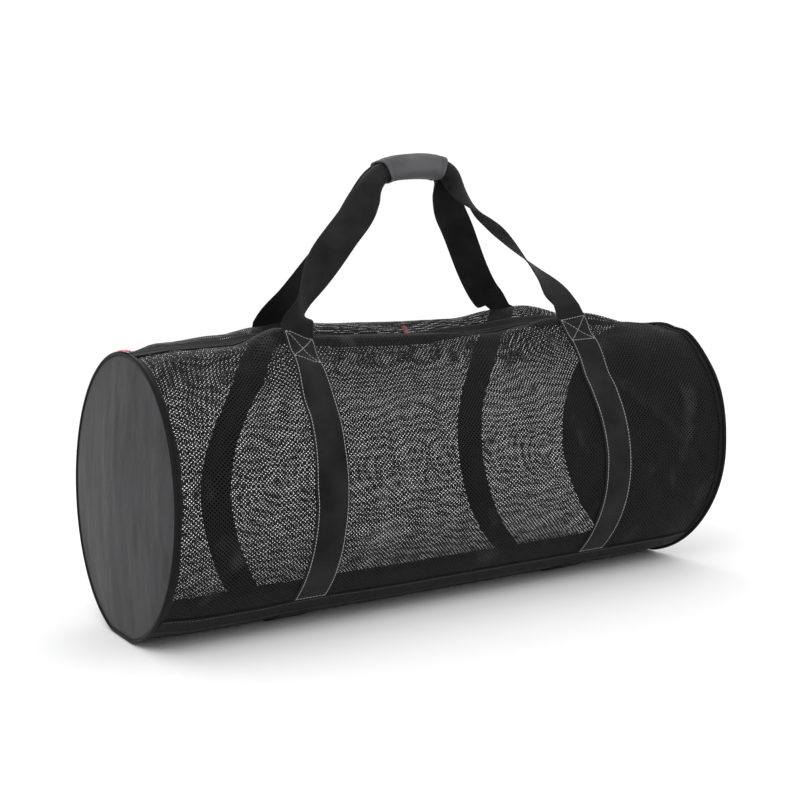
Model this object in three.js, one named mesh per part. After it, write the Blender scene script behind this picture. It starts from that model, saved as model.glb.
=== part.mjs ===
// Mesh dive gear bag: a large round duffel with see-through sides, a solid
// base, two solid round ends and two webbing straps that make the handles.
// Millimetres, +X along the bag, -Y the front, +Z up, resting on z = 0.

import * as THREE from 'three';

// Overall size
const LENGTH = 900;
const RADIUS = 190;
const REST_HEIGHT = 186;
const END_REST_HEIGHT = 181.6;
const TOP_LEAN = 8.6;

// Cloth and webbing
const CLOTH = 1.5;
const WEBBING = 1.8;
const GAP = 0.3;
const SEAM_SHARE = 0.02;
const FLOOR_Z = -(REST_HEIGHT + GAP + WEBBING);

// Straps and handles
const STRAP_WIDTH = 49;
const STRAP_AT = 239.7;
const BOX_TOP = 22;
const BOX_FOOT = 33;
const HANDLE_TOP = 438.5;
const HANDLE_SPREAD = 85;
const HANDLE_STEPS = 2;
const HANDLE_BLEND = 4;
const GRIP_CURL = 55;
const STRAND_GAP = 1.7;
const ACROSS = [-2, -1, 0, 1, 2];

// Seams round the section, in degrees from the top
const CHAIN_EDGE = 0.85;
const ZIP_TAPE_INNER = 1.1;
const MESH_TOP = 5;
const ZIP_TAPE_OUTER = 9;
const SEAMS = {
  front: { tapeTop: 138.7, meshFoot: 144.7, tapeFoot: 150.7 },
  rear: { tapeTop: 154.3, meshFoot: 160.3, tapeFoot: 166.3 },
};
const FLOOR_EDGE = 168.3;
const PULL_LINE = 15.5;

// Ends
const PIPING_RADIUS = 2.8;
const PIPING_SIDES = 5;
const END_BULGE = 9;
const TAPE_END_SHARE = 0.14;
const END_RING = 0.62;
const FOLD_FADE = 60;
const REST_FADE = 30;

// Zip
const CHAIN_HEIGHT = 2.4;
const SLIDER = { length: 13, width: 11, height: 5.5, lift: 3.4 };
const PULL = { length: 40, width: 9, height: 2, lift: 3 };
const TAB = { length: 30, width: 9, height: 1.6, frontShare: 0.8 };
const CHAIN_SHOULDER = 0.7;

// Grip wrapped round both handles
const WRAP_WALL = 2.4;
const WRAP_SLACK = 1.3;
const WRAP_SIDES = 14;

// The section is a circle whose radius is scaled at named angles from the top
const ANGLES = {
  valley: 0, crest: 21, box: 31, shoulder: 52, side: 90, low: 135, floor: 180,
};

// One row for each section along the bag, at a share of the half length.
// The crests are where the handles lift the skin on both sides of the zip.
const SECTIONS = [
  { at: -1.00, valley: 0.975, crest: [0.975, 0.975], box: [0.975, 0.975],
    shoulder: [0.975, 0.975], side: [0.975, 0.975], low: [0.975, 0.975], floor: 0.975 },
  { at: -0.86, valley: 0.99, crest: [1.03, 1.09], box: [1.01, 1.03],
    shoulder: [1.00, 1.00], side: [1.00, 1.00], low: [1.00, 1.00], floor: 1.00 },
  { at: -0.70, valley: 0.99, crest: [1.06, 1.13], box: [1.03, 1.04],
    shoulder: [1.00, 1.00], side: [1.00, 1.00], low: [1.00, 1.00], floor: 1.00 },
  { at: -0.587, valley: 1.01, crest: [1.20, 1.18], box: [1.12, 1.08],
    shoulder: [1.00, 1.00], side: [1.00, 1.00], low: [0.99, 1.00], floor: 1.00 },
  { at: -0.478, valley: 0.99, crest: [1.12, 1.21], box: [1.04, 1.09],
    shoulder: [0.99, 1.00], side: [0.99, 0.99], low: [0.99, 0.99], floor: 1.00 },
  { at: -0.25, valley: 0.94, crest: [1.11, 1.19], box: [1.06, 1.07],
    shoulder: [1.00, 1.00], side: [1.00, 1.00], low: [1.00, 1.00], floor: 1.00 },
  { at: 0.00, valley: 0.93, crest: [1.11, 1.175], box: [1.06, 1.07],
    shoulder: [1.00, 1.00], side: [1.00, 1.00], low: [1.00, 1.00], floor: 1.00 },
  { at: 0.24, valley: 0.98, crest: [1.06, 1.175], box: [1.04, 1.07],
    shoulder: [1.00, 1.00], side: [1.00, 1.00], low: [1.00, 1.00], floor: 1.00 },
  { at: 0.478, valley: 1.02, crest: [1.17, 1.24], box: [1.12, 1.13],
    shoulder: [1.00, 1.01], side: [1.00, 1.00], low: [1.00, 1.00], floor: 1.00 },
  { at: 0.587, valley: 1.02, crest: [1.205, 1.265], box: [1.12, 1.14],
    shoulder: [1.01, 1.01], side: [1.00, 1.00], low: [1.00, 1.00], floor: 1.00 },
  { at: 0.86, valley: 1.00, crest: [1.08, 1.09], box: [1.09, 1.05],
    shoulder: [1.05, 1.02], side: [1.01, 1.01], low: [1.00, 1.00], floor: 1.00 },
  { at: 1.00, valley: 0.975, crest: [1.03, 1.00], box: [1.07, 1.02],
    shoulder: [1.05, 1.01], side: [1.005, 1.00], low: [0.985, 0.985], floor: 0.975 },
];

// One row for each soft fold or dent: where it is, its turn in degrees, and
// how far it runs, how wide it is and how far it rises as shares of RADIUS.
const FOLDS = [
  { at: -0.78, angle: 66, turn: 42, run: 0.50, width: 0.14, rise: -0.028 },
  { at: -0.74, angle: 96, turn: 40, run: 0.55, width: 0.15, rise: -0.028 },
  { at: -0.72, angle: 80, turn: 42, run: 0.47, width: 0.14, rise: 0.016 },
  { at: -0.24, angle: 60, turn: 70, run: 0.37, width: 0.17, rise: -0.026 },
  { at: 0.18, angle: 78, turn: 20, run: 0.58, width: 0.18, rise: -0.021 },
  { at: 0.06, angle: 110, turn: -12, run: 0.68, width: 0.18, rise: -0.021 },
  { at: 0.78, angle: 62, turn: -40, run: 0.42, width: 0.15, rise: -0.026 },
  { at: 0.40, angle: 36, turn: 8, run: 0.47, width: 0.14, rise: -0.026 },
  { at: -0.60, angle: -70, turn: -50, run: 0.63, width: 0.18, rise: -0.026 },
  { at: 0.10, angle: -84, turn: 30, run: 0.79, width: 0.20, rise: -0.026 },
  { at: 0.74, angle: -74, turn: 35, run: 0.47, width: 0.16, rise: -0.026 },
];

// How far each strap leans along the bag near its handle
const STRAP_LEAN = { front: [2, -11], rear: [38, -11] };
const LEAN_FULL = 35;
const LEAN_END = 112;

// Lines along the bag and round it that every piece of the skin shares. The
// lines along it lie between its end, the strap's two edges and its middle.
const OUTER_LINES = [1, 0.83, 0.62, 0.41, 0.2];
const INNER_LINES = [0.82, 0.63, 0.43, 0.21];

function linesAlong() {
  const edge = STRAP_AT + STRAP_WIDTH / 2;
  const inside = STRAP_AT - STRAP_WIDTH / 2;
  const right = [
    ...INNER_LINES.map((share) => inside * share).reverse(),
    ...ACROSS.map((n) => STRAP_AT + (n * STRAP_WIDTH) / 4),
    ...OUTER_LINES.map((share) => edge + (LENGTH / 2 - edge) * share).reverse(),
  ];
  return [...right.map((x) => -x).reverse(), 0, ...right];
}

const ALONG = linesAlong();
const UPPER_LINES = [
  ZIP_TAPE_INNER, MESH_TOP, ZIP_TAPE_OUTER, PULL_LINE, BOX_TOP, 27.5, BOX_FOOT, 40, 49.5, 59,
  68.5, 78, 87.5, 97, 107, 117, 128,
];
const ROUND_FRONT = [...UPPER_LINES, ...Object.values(SEAMS.front), 159.5, FLOOR_EDGE];
const ROUND_REAR = [...UPPER_LINES, 141, ...Object.values(SEAMS.rear), FLOOR_EDGE];

// Path of each handle from the left strap to the right one. The x column is a
// share of STRAP_AT. Spread runs from 0 in the grip to 1 at the bag, and lift
// from 0 at RADIUS above the middle line to 1 at HANDLE_TOP. Turn rolls the
// webbing, in degrees, and curl bends it about its middle, 1 as in the grip.
const HANDLE_PATHS = {
  front: [
    { x: -0.955, spread: 0.98, lift: 0.11, turn: 30, curl: 0 },
    { x: -0.94, spread: 0.93, lift: 0.16, turn: 50, curl: 0 },
    { x: -0.905, spread: 0.85, lift: 0.225, turn: 44, curl: 0 },
    { x: -0.845, spread: 0.71, lift: 0.3, turn: 28, curl: 0 },
    { x: -0.715, spread: 0.5, lift: 0.435, turn: -6, curl: 0 },
    { x: -0.57, spread: 0.3, lift: 0.57, turn: -32, curl: 0 },
    { x: -0.44, spread: 0.16, lift: 0.69, turn: -30, curl: 0.11 },
    { x: -0.335, spread: 0.085, lift: 0.815, turn: -20, curl: 0.47 },
    { x: -0.255, spread: 0.03, lift: 0.905, turn: -8, curl: 0.84 },
    { x: -0.175, spread: 0, lift: 0.957, turn: 0, curl: 1 },
    { x: -0.08, spread: 0, lift: 0.985, turn: 0, curl: 1 },
    { x: 0.03, spread: 0, lift: 0.998, turn: 0, curl: 1 },
    { x: 0.14, spread: 0, lift: 1, turn: 0, curl: 1 },
    { x: 0.235, spread: 0, lift: 0.988, turn: 0, curl: 1 },
    { x: 0.305, spread: 0.03, lift: 0.948, turn: -10, curl: 0.86 },
    { x: 0.35, spread: 0.11, lift: 0.855, turn: -36, curl: 0.51 },
    { x: 0.405, spread: 0.16, lift: 0.77, turn: -60, curl: 0.22 },
    { x: 0.47, spread: 0.19, lift: 0.7, turn: -78, curl: 0.07 },
    { x: 0.55, spread: 0.24, lift: 0.63, turn: -84, curl: 0 },
    { x: 0.615, spread: 0.33, lift: 0.565, turn: -80, curl: 0 },
    { x: 0.7, spread: 0.465, lift: 0.47, turn: -68, curl: 0 },
    { x: 0.805, spread: 0.66, lift: 0.35, turn: -48, curl: 0 },
    { x: 0.9, spread: 0.85, lift: 0.235, turn: -22, curl: 0 },
    { x: 0.96, spread: 0.97, lift: 0.155, turn: -8, curl: 0 },
  ],
  rear: [
    { x: -0.793, spread: 0.98, lift: 0.11, turn: -14, curl: 0 },
    { x: -0.76, spread: 0.89, lift: 0.165, turn: -26, curl: 0 },
    { x: -0.685, spread: 0.71, lift: 0.26, turn: -31, curl: 0 },
    { x: -0.575, spread: 0.48, lift: 0.405, turn: -32, curl: 0 },
    { x: -0.48, spread: 0.31, lift: 0.525, turn: -32, curl: 0 },
    { x: -0.39, spread: 0.16, lift: 0.66, turn: -28, curl: 0.11 },
    { x: -0.315, spread: 0.085, lift: 0.8, turn: -18, curl: 0.47 },
    { x: -0.25, spread: 0.03, lift: 0.902, turn: -8, curl: 0.84 },
    { x: -0.175, spread: 0, lift: 0.957, turn: 0, curl: 1 },
    { x: -0.08, spread: 0, lift: 0.985, turn: 0, curl: 1 },
    { x: 0.03, spread: 0, lift: 0.998, turn: 0, curl: 1 },
    { x: 0.14, spread: 0, lift: 1, turn: 0, curl: 1 },
    { x: 0.235, spread: 0, lift: 0.988, turn: 0, curl: 1 },
    { x: 0.3, spread: 0.02, lift: 0.942, turn: -6, curl: 0.88 },
    { x: 0.34, spread: 0.07, lift: 0.845, turn: -18, curl: 0.51 },
    { x: 0.4, spread: 0.13, lift: 0.735, turn: -28, curl: 0.15 },
    { x: 0.485, spread: 0.27, lift: 0.625, turn: -32, curl: 0 },
    { x: 0.645, spread: 0.57, lift: 0.395, turn: -29, curl: 0 },
    { x: 0.775, spread: 0.8, lift: 0.25, turn: -26, curl: 0 },
    { x: 0.875, spread: 0.95, lift: 0.18, turn: -18, curl: 0 },
    { x: 0.94, spread: 1.02, lift: 0.15, turn: -8, curl: 0 },
  ],
};

const COLORS = {
  net: 0x1b1b1d,
  base: 0x1d1d1f,
  tape: 0x212123,
  end: 0x3a3a3c,
  piping: 0x161617,
  webbing: 0x1f1f21,
  grip: 0x4b4b4d,
  zip: 0x141415,
  slider: 0x2a2a2c,
  pull: 0xa03a40,
  tab: 0xc8505c,
};

const radians = (degrees) => (degrees * Math.PI) / 180;
const mix = (a, b, t) => a + (b - a) * t;
const ease = (t) => t * t * (3 - 2 * t);
const clamp = (v, low, high) => Math.min(high, Math.max(low, v));

// The shape of the skin

function easedBetween(stops, values, at) {
  let k = 0;
  while (k < stops.length - 2 && at > stops[k + 1]) {
    k += 1;
  }
  const t = clamp((at - stops[k]) / (stops[k + 1] - stops[k]), 0, 1);
  return mix(values[k], values[k + 1], ease(t));
}

function sectionShare(row, angle) {
  const side = angle >= 0 ? 0 : 1;
  const names = Object.keys(ANGLES);
  const values = names.map((name) => (Array.isArray(row[name]) ? row[name][side] : row[name]));
  return easedBetween(Object.values(ANGLES), values, Math.abs(angle));
}

function foldRise(x, angle) {
  let rise = 0;
  for (const fold of FOLDS) {
    const dx = x - (fold.at * LENGTH) / 2;
    const ds = radians(angle - fold.angle) * RADIUS;
    const c = Math.cos(radians(fold.turn));
    const s = Math.sin(radians(fold.turn));
    const along = (dx * c - ds * s) / (fold.run * RADIUS);
    const across = (dx * s + ds * c) / (fold.width * RADIUS);
    rise += fold.rise * RADIUS * Math.exp(-along * along - across * across);
  }
  const toEnd = clamp((LENGTH / 2 - Math.abs(x)) / FOLD_FADE, 0, 1);
  return rise * ease(toEnd);
}

function skinRadius(x, angle, offset) {
  const stops = SECTIONS.map((row) => (row.at * LENGTH) / 2);
  const shares = SECTIONS.map((row) => sectionShare(row, angle));
  const radius = RADIUS * easedBetween(stops, shares, x) + foldRise(x, angle);
  const toEnd = clamp((LENGTH / 2 - Math.abs(x)) / REST_FADE, 0, 1);
  const rest = mix(END_REST_HEIGHT, REST_HEIGHT, ease(toEnd));
  const down = -Math.cos(radians(angle));
  const floorRadius = down > 0.5 ? (rest + offset) / down : Infinity;
  return Math.min(radius + offset, floorRadius);
}

function strapLean(x, angle) {
  const [left, right] = angle >= 0 ? STRAP_LEAN.front : STRAP_LEAN.rear;
  const turn = Math.abs(angle);
  const up = ease(clamp((LEAN_END - turn) / (LEAN_END - LEAN_FULL), 0, 1));
  const near = ease(clamp(turn / BOX_TOP, 0, 1));
  const inner = STRAP_AT - STRAP_WIDTH / 2;
  const outer = STRAP_AT + STRAP_WIDTH / 2;
  let share = 1;
  if (Math.abs(x) > outer) {
    share = (LENGTH / 2 - Math.abs(x)) / (LENGTH / 2 - outer);
  }
  const across = clamp((x + inner) / (2 * inner), 0, 1);
  return mix(left, right, across) * share * up * near;
}

function skinPoint(x, angle, offset) {
  const r = skinRadius(x, angle, offset);
  const z = r * Math.cos(radians(angle));
  const y = -r * Math.sin(radians(angle));
  const leaned = x + strapLean(x, angle) + (TOP_LEAN * z) / RADIUS;
  return new THREE.Vector3(leaned, y, z - FLOOR_Z);
}

// Line numbers may carry a small fraction, which leaves a gap at a seam
const ROUND = [...ROUND_REAR.map((a) => -a).reverse(), ...ROUND_FRONT];

function roundLine(angle) {
  return ROUND.indexOf(angle);
}

function gridPoint(column, row, offset) {
  const c0 = Math.min(Math.floor(column), ALONG.length - 2);
  const r0 = Math.min(Math.floor(row), ROUND.length - 2);
  const tc = column - c0;
  const tr = row - r0;
  const corner = (c, r) => skinPoint(ALONG[c], ROUND[r], offset);
  const low = corner(c0, r0).lerp(corner(c0 + 1, r0), tc);
  const high = corner(c0, r0 + 1).lerp(corner(c0 + 1, r0 + 1), tc);
  return low.lerp(high, tr);
}

// Closed solids

function solid(name, points, triangles, color, roughness) {
  const geometry = new THREE.BufferGeometry();
  const positions = points.flatMap((p) => [p.x, p.y, p.z]);
  geometry.setAttribute('position', new THREE.Float32BufferAttribute(positions, 3));
  let volume = 0;
  for (const [a, b, c] of triangles) {
    volume += points[a].dot(points[b].clone().cross(points[c]));
  }
  const turned = volume < 0 ? triangles.map(([a, b, c]) => [a, c, b]) : triangles;
  geometry.setIndex(turned.flat());
  geometry.computeVertexNormals();
  const material = new THREE.MeshStandardMaterial({ color, roughness, metalness: 0 });
  const mesh = new THREE.Mesh(geometry, material);
  mesh.name = name;
  return mesh;
}

// A sheet between two grids of points of the same size. Each cell is split
// along one diagonal, or along the other when the grid runs the other way.
function sheet(name, outer, inner, color, roughness, otherWay = false) {
  const rows = outer.length;
  const columns = outer[0].length;
  const count = rows * columns;
  const points = [...outer.flat(), ...inner.flat()];
  const triangles = [];
  const at = (r, c, layer) => layer * count + r * columns + c;
  const quad = (a, b, c, d) => triangles.push([a, b, c], [a, c, d]);
  for (let r = 0; r < rows - 1; r += 1) {
    for (let c = 0; c < columns - 1; c += 1) {
      const [a, b, d, e] = [[r, c], [r, c + 1], [r + 1, c + 1], [r + 1, c]];
      const loop = otherWay ? [b, d, e, a] : [a, b, d, e];
      quad(...loop.map((cell) => at(...cell, 0)));
      const back = [loop[0], loop[3], loop[2], loop[1]];
      quad(...back.map((cell) => at(...cell, 1)));
    }
    quad(at(r, 0, 0), at(r + 1, 0, 0), at(r + 1, 0, 1), at(r, 0, 1));
    quad(at(r + 1, columns - 1, 0), at(r, columns - 1, 0), at(r, columns - 1, 1),
      at(r + 1, columns - 1, 1));
  }
  for (let c = 0; c < columns - 1; c += 1) {
    quad(at(0, c + 1, 0), at(0, c, 0), at(0, c, 1), at(0, c + 1, 1));
    quad(at(rows - 1, c, 0), at(rows - 1, c + 1, 0), at(rows - 1, c + 1, 1),
      at(rows - 1, c, 1));
  }
  return solid(name, points, triangles, color, roughness);
}

// A ring or tube of cross sections, each a loop of the same number of points
function tube(name, loops, closed, color, roughness) {
  const sides = loops[0].length;
  const points = loops.flat();
  const triangles = [];
  const steps = closed ? loops.length : loops.length - 1;
  for (let k = 0; k < steps; k += 1) {
    const next = (k + 1) % loops.length;
    for (let s = 0; s < sides; s += 1) {
      const t = (s + 1) % sides;
      triangles.push([k * sides + s, k * sides + t, next * sides + t]);
      triangles.push([k * sides + s, next * sides + t, next * sides + s]);
    }
  }
  if (!closed) {
    const last = (loops.length - 1) * sides;
    for (let s = 1; s < sides - 1; s += 1) {
      triangles.push([0, s + 1, s]);
      triangles.push([last, last + s, last + s + 1]);
    }
  }
  return solid(name, points, triangles, color, roughness);
}

// A piece of the skin between two lines along the bag and two round it
function skinPiece(name, span, turn, layer, color, roughness) {
  const lines = (from, to) => {
    const list = [from];
    for (let k = Math.floor(from) + 1; k < to; k += 1) {
      list.push(k);
    }
    list.push(to);
    return list;
  };
  const grid = (offset) => lines(...turn).map((row) => (
    lines(...span).map((column) => gridPoint(column, row, offset))
  ));
  return sheet(name, grid(layer[1]), grid(layer[0]), color, roughness);
}

const FULL = [0, ALONG.length - 1];
const SHORT = [TAPE_END_SHARE, ALONG.length - 1 - TAPE_END_SHARE];
const SKIN = [-CLOTH, 0];
const OVER = [GAP, GAP + CLOTH];
const STRAP = [GAP, GAP + WEBBING];

function netPanels() {
  const feet = [roundLine(SEAMS.front.meshFoot), roundLine(-SEAMS.rear.meshFoot)];
  const front = [roundLine(MESH_TOP) + SEAM_SHARE, feet[0] - SEAM_SHARE];
  const rear = [feet[1] + SEAM_SHARE, roundLine(-MESH_TOP) - SEAM_SHARE];
  return [
    skinPiece('mesh_panel_front', FULL, front, SKIN, COLORS.net, 0.9),
    skinPiece('mesh_panel_rear', FULL, rear, SKIN, COLORS.net, 0.9),
  ];
}

// The base runs under the bag, from a line at the front seam round to the
// same line at the rear seam, which lies lower
function underGrid(line, share, columns, offset) {
  const first = roundLine(SEAMS.front[line]);
  const last = roundLine(-SEAMS.rear[line]);
  const rows = [first + share];
  for (let k = first + 1; k < ROUND.length; k += 1) {
    rows.push(k);
  }
  for (let k = 0; k < last; k += 1) {
    rows.push(k);
  }
  rows.push(last - share);
  return rows.map((row) => columns.map((column) => gridPoint(column, row, offset)));
}

function basePieces() {
  const all = ALONG.map((x, k) => k);
  const panel = sheet('base_panel', underGrid('meshFoot', SEAM_SHARE, all, 0),
    underGrid('meshFoot', SEAM_SHARE, all, -CLOTH), COLORS.base, 0.85);
  const straps = [['base_strap_left', -STRAP_AT], ['base_strap_right', STRAP_AT]];
  const webs = straps.map(([name, x]) => {
    const middle = ALONG.indexOf(x);
    const columns = ACROSS.map((n) => middle + n);
    const outer = underGrid('tapeFoot', 3 * SEAM_SHARE, columns, STRAP[1]);
    const inner = underGrid('tapeFoot', 3 * SEAM_SHARE, columns, STRAP[0]);
    return sheet(name, outer, inner, COLORS.webbing, 0.8);
  });
  const front = [roundLine(SEAMS.front.tapeTop), roundLine(SEAMS.front.tapeFoot)];
  const rear = [roundLine(-SEAMS.rear.tapeFoot), roundLine(-SEAMS.rear.tapeTop)];
  return [
    panel,
    ...webs,
    skinPiece('base_tape_front', SHORT, front, OVER, COLORS.tape, 0.8),
    skinPiece('base_tape_rear', SHORT, rear, OVER, COLORS.tape, 0.8),
  ];
}

// The ends: a domed round panel and a piping over the seam at its rim

const RIM = ROUND.filter((angle) => Math.abs(angle) > ZIP_TAPE_INNER);

function rimPoint(side, angle, offset, outward) {
  const point = skinPoint((side * LENGTH) / 2, angle, offset);
  point.x += side * outward;
  return point;
}

function endPanel(name, side) {
  const rings = [1, END_RING].map((share) => RIM.map((angle) => [share, angle]));
  const middle = new THREE.Vector3((side * LENGTH) / 2, 0, -FLOOR_Z);
  const place = (share, angle, outward) => {
    const rim = rimPoint(side, angle, 0, 0);
    const bulge = END_BULGE * (1 - share * share);
    const point = middle.clone().lerp(rim, share);
    point.x += side * (outward + bulge);
    return point;
  };
  const points = [];
  for (const outward of [GAP + CLOTH, GAP]) {
    for (const ring of rings) {
      points.push(...ring.map(([share, angle]) => place(share, angle, outward)));
    }
    points.push(place(0, 0, outward));
  }
  const n = RIM.length;
  const layer = 2 * n + 1;
  const triangles = [];
  for (let k = 0; k < n; k += 1) {
    const m = (k + 1) % n;
    for (const [base, flip] of [[0, false], [layer, true]]) {
      const faces = [
        [base + k, base + m, base + n + m],
        [base + k, base + n + m, base + n + k],
        [base + n + k, base + n + m, base + 2 * n],
      ];
      triangles.push(...faces.map(([a, b, c]) => (flip ? [a, c, b] : [a, b, c])));
    }
    triangles.push([k, layer + k, layer + m], [k, layer + m, m]);
  }
  return solid(name, points, triangles, COLORS.end, 0.7);
}

// Height of the piping's middle above the skin, with a flat side down
const PIPING_MIDDLE = GAP + PIPING_RADIUS * Math.cos(Math.PI / PIPING_SIDES);

function piping(name, side) {
  const loops = RIM.map((angle) => {
    const loop = [];
    for (let s = 0; s < PIPING_SIDES; s += 1) {
      const turn = (2 * s * Math.PI) / PIPING_SIDES;
      const up = PIPING_MIDDLE + PIPING_RADIUS * Math.cos(turn);
      const out = GAP + CLOTH / 2 + PIPING_RADIUS * Math.sin(turn);
      loop.push(rimPoint(side, angle, up, out));
    }
    return loop;
  });
  return tube(name, loops, true, COLORS.piping, 0.6);
}

// The zip along the valley on top

function zipPieces() {
  const front = [roundLine(ZIP_TAPE_INNER), roundLine(ZIP_TAPE_OUTER)];
  const rear = [roundLine(-ZIP_TAPE_OUTER), roundLine(-ZIP_TAPE_INNER)];
  const loops = [];
  for (let k = 0; k < ALONG.length; k += 1) {
    const column = clamp(k, ...SHORT);
    const left = gridPoint(column, roundLine(-ZIP_TAPE_INNER), 0);
    const right = gridPoint(column, roundLine(ZIP_TAPE_INNER), 0);
    const share = (1 - CHAIN_EDGE / ZIP_TAPE_INNER) / 2;
    const corner = (t, up) => {
      const point = left.clone().lerp(right, t);
      point.z += up;
      return point;
    };
    loops.push([
      corner(share, 0),
      corner(1 - share, 0),
      corner(1 - share, CHAIN_HEIGHT * CHAIN_SHOULDER),
      corner(0.5, CHAIN_HEIGHT),
      corner(share, CHAIN_HEIGHT * CHAIN_SHOULDER),
    ]);
  }
  return [
    skinPiece('zipper_tape_front', SHORT, front, OVER, COLORS.zip, 0.85),
    skinPiece('zipper_tape_rear', SHORT, rear, OVER, COLORS.zip, 0.85),
    tube('zipper_chain', loops, false, COLORS.zip, 0.5),
  ];
}

// A block whose middle line follows two points, with small bevels on top
function block(name, from, to, up, size, color, roughness) {
  const along = to.clone().sub(from).normalize();
  const across = new THREE.Vector3().crossVectors(up, along).normalize();
  const top = new THREE.Vector3().crossVectors(along, across).normalize();
  const bevel = Math.min(size.height, size.width) * 0.25;
  const outline = [
    [-size.width / 2, 0],
    [size.width / 2, 0],
    [size.width / 2, size.height - bevel],
    [size.width / 2 - bevel, size.height],
    [-size.width / 2 + bevel, size.height],
    [-size.width / 2, size.height - bevel],
  ];
  const loops = [from, to].map((end) => outline.map(([w, h]) => (
    end.clone().addScaledVector(across, w).addScaledVector(top, h)
  )));
  return tube(name, loops, false, color, roughness);
}

function zipFittings() {
  const up = new THREE.Vector3(0, 0, 1);
  const column = ALONG.indexOf(0);
  const valley = gridPoint(column, roundLine(ZIP_TAPE_INNER), SLIDER.lift);
  const start = new THREE.Vector3(valley.x - SLIDER.length / 2, 0, valley.z);
  const end = start.clone();
  end.x += SLIDER.length;
  const slider = block('zipper_slider', start, end, up, SLIDER, COLORS.slider, 0.45);
  const crest = gridPoint(column, roundLine(-PULL_LINE), OVER[1] + PULL.lift);
  const foot = new THREE.Vector3(valley.x, SLIDER.width / 2 + PULL.height,
    valley.z + SLIDER.height / 2);
  const head = foot.clone().add(crest.sub(foot).setLength(PULL.length));
  const pull = block('zipper_pull', foot, head, up, PULL, COLORS.pull, 0.7);
  return [slider, pull];
}

function zipEndTab() {
  const up = new THREE.Vector3(0, 0, 1);
  const from = rimPoint(-1, MESH_TOP, PIPING_MIDDLE + PIPING_RADIUS, GAP);
  from.y = -TAB.length * TAB.frontShare;
  from.z += GAP;
  const to = from.clone();
  to.y += TAB.length;
  return block('zipper_end_tab', from, to, up, TAB, COLORS.tab, 0.8);
}

// Straps: flat on the skin from the base tape to the box, then a handle

function smooth(rows, key, k, t) {
  const value = (n) => rows[clamp(n, 0, rows.length - 1)][key];
  const [a, b, c, d] = [value(k - 1), value(k), value(k + 1), value(k + 2)];
  const bend = 2 * a - 5 * b + 4 * c - d;
  const twist = 3 * b - a - 3 * c + d;
  return 0.5 * (2 * b + (c - a) * t + bend * t * t + twist * t * t * t);
}

// Half of the webbing's width and its depth where it is curled in the grip
function curledHalf() {
  const bends = [0.5, 1.5].map((n) => radians(n * GRIP_CURL));
  const sum = (list) => list.reduce((total, v) => total + v, 0);
  return {
    width: (sum(bends.map(Math.cos)) * STRAP_WIDTH) / 4,
    depth: (sum(bends.map(Math.sin)) * STRAP_WIDTH) / 4,
  };
}

const GRIP_SPREAD = curledHalf().depth + STRAND_GAP;

function handleSpot(row) {
  return {
    x: row.x * STRAP_AT,
    y: mix(GRIP_SPREAD, HANDLE_SPREAD, row.spread),
    z: mix(RADIUS, HANDLE_TOP, row.lift) - FLOOR_Z,
    turn: row.turn,
    curl: row.curl * GRIP_CURL,
  };
}

function handleRings(path) {
  const spots = path.map(handleSpot);
  const samples = [];
  for (let k = 0; k < spots.length - 1; k += 1) {
    const steps = k === spots.length - 2 ? HANDLE_STEPS + 1 : HANDLE_STEPS;
    for (let n = 0; n < steps; n += 1) {
      const t = n / HANDLE_STEPS;
      const read = (key) => smooth(spots, key, k, t);
      samples.push({
        at: new THREE.Vector3(read('x'), -read('y'), read('z')),
        turn: read('turn'),
        curl: clamp(read('curl'), 0, GRIP_CURL),
      });
    }
  }
  return samples.map((sample, k) => {
    const before = samples[Math.max(k - 1, 0)].at;
    const after = samples[Math.min(k + 1, samples.length - 1)].at;
    const along = after.clone().sub(before).normalize();
    const face = new THREE.Vector3(0, -1, 0);
    face.addScaledVector(along, -face.dot(along)).normalize();
    face.applyAxisAngle(along, radians(sample.turn));
    const across = new THREE.Vector3().crossVectors(along, face);
    const last = samples.length - 1;
    const free = ease(clamp(Math.min(k, last - k) / HANDLE_BLEND, 0, 1));
    const sewn = new THREE.Vector3(k < last / 2 ? 1 : -1, 0, 0);
    across.lerpVectors(sewn, across, free).normalize();
    face.crossVectors(across, along).normalize();
    // Walk out from the middle, bending by the curl at every step
    const half = (sign) => {
      const points = [];
      const spot = sample.at.clone();
      for (let n = 0; n < 2; n += 1) {
        const bend = radians(sample.curl * (n + 0.5));
        spot.addScaledVector(across, (sign * Math.cos(bend) * STRAP_WIDTH) / 4);
        spot.addScaledVector(face, (-Math.sin(bend) * STRAP_WIDTH) / 4);
        const lean = radians(sample.curl * Math.min(n + 1, 1.5));
        const normal = face.clone().multiplyScalar(Math.cos(lean))
          .addScaledVector(across, sign * Math.sin(lean));
        points.push({ spot: spot.clone(), normal });
      }
      return points;
    };
    const line = [...half(-1).reverse(), { spot: sample.at, normal: face }, ...half(1)];
    const inner = line.map(({ spot }) => spot.clone());
    const outer = line.map(({ spot, normal }) => (
      spot.clone().addScaledVector(normal, WEBBING)
    ));
    return { inner, outer };
  });
}

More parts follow.
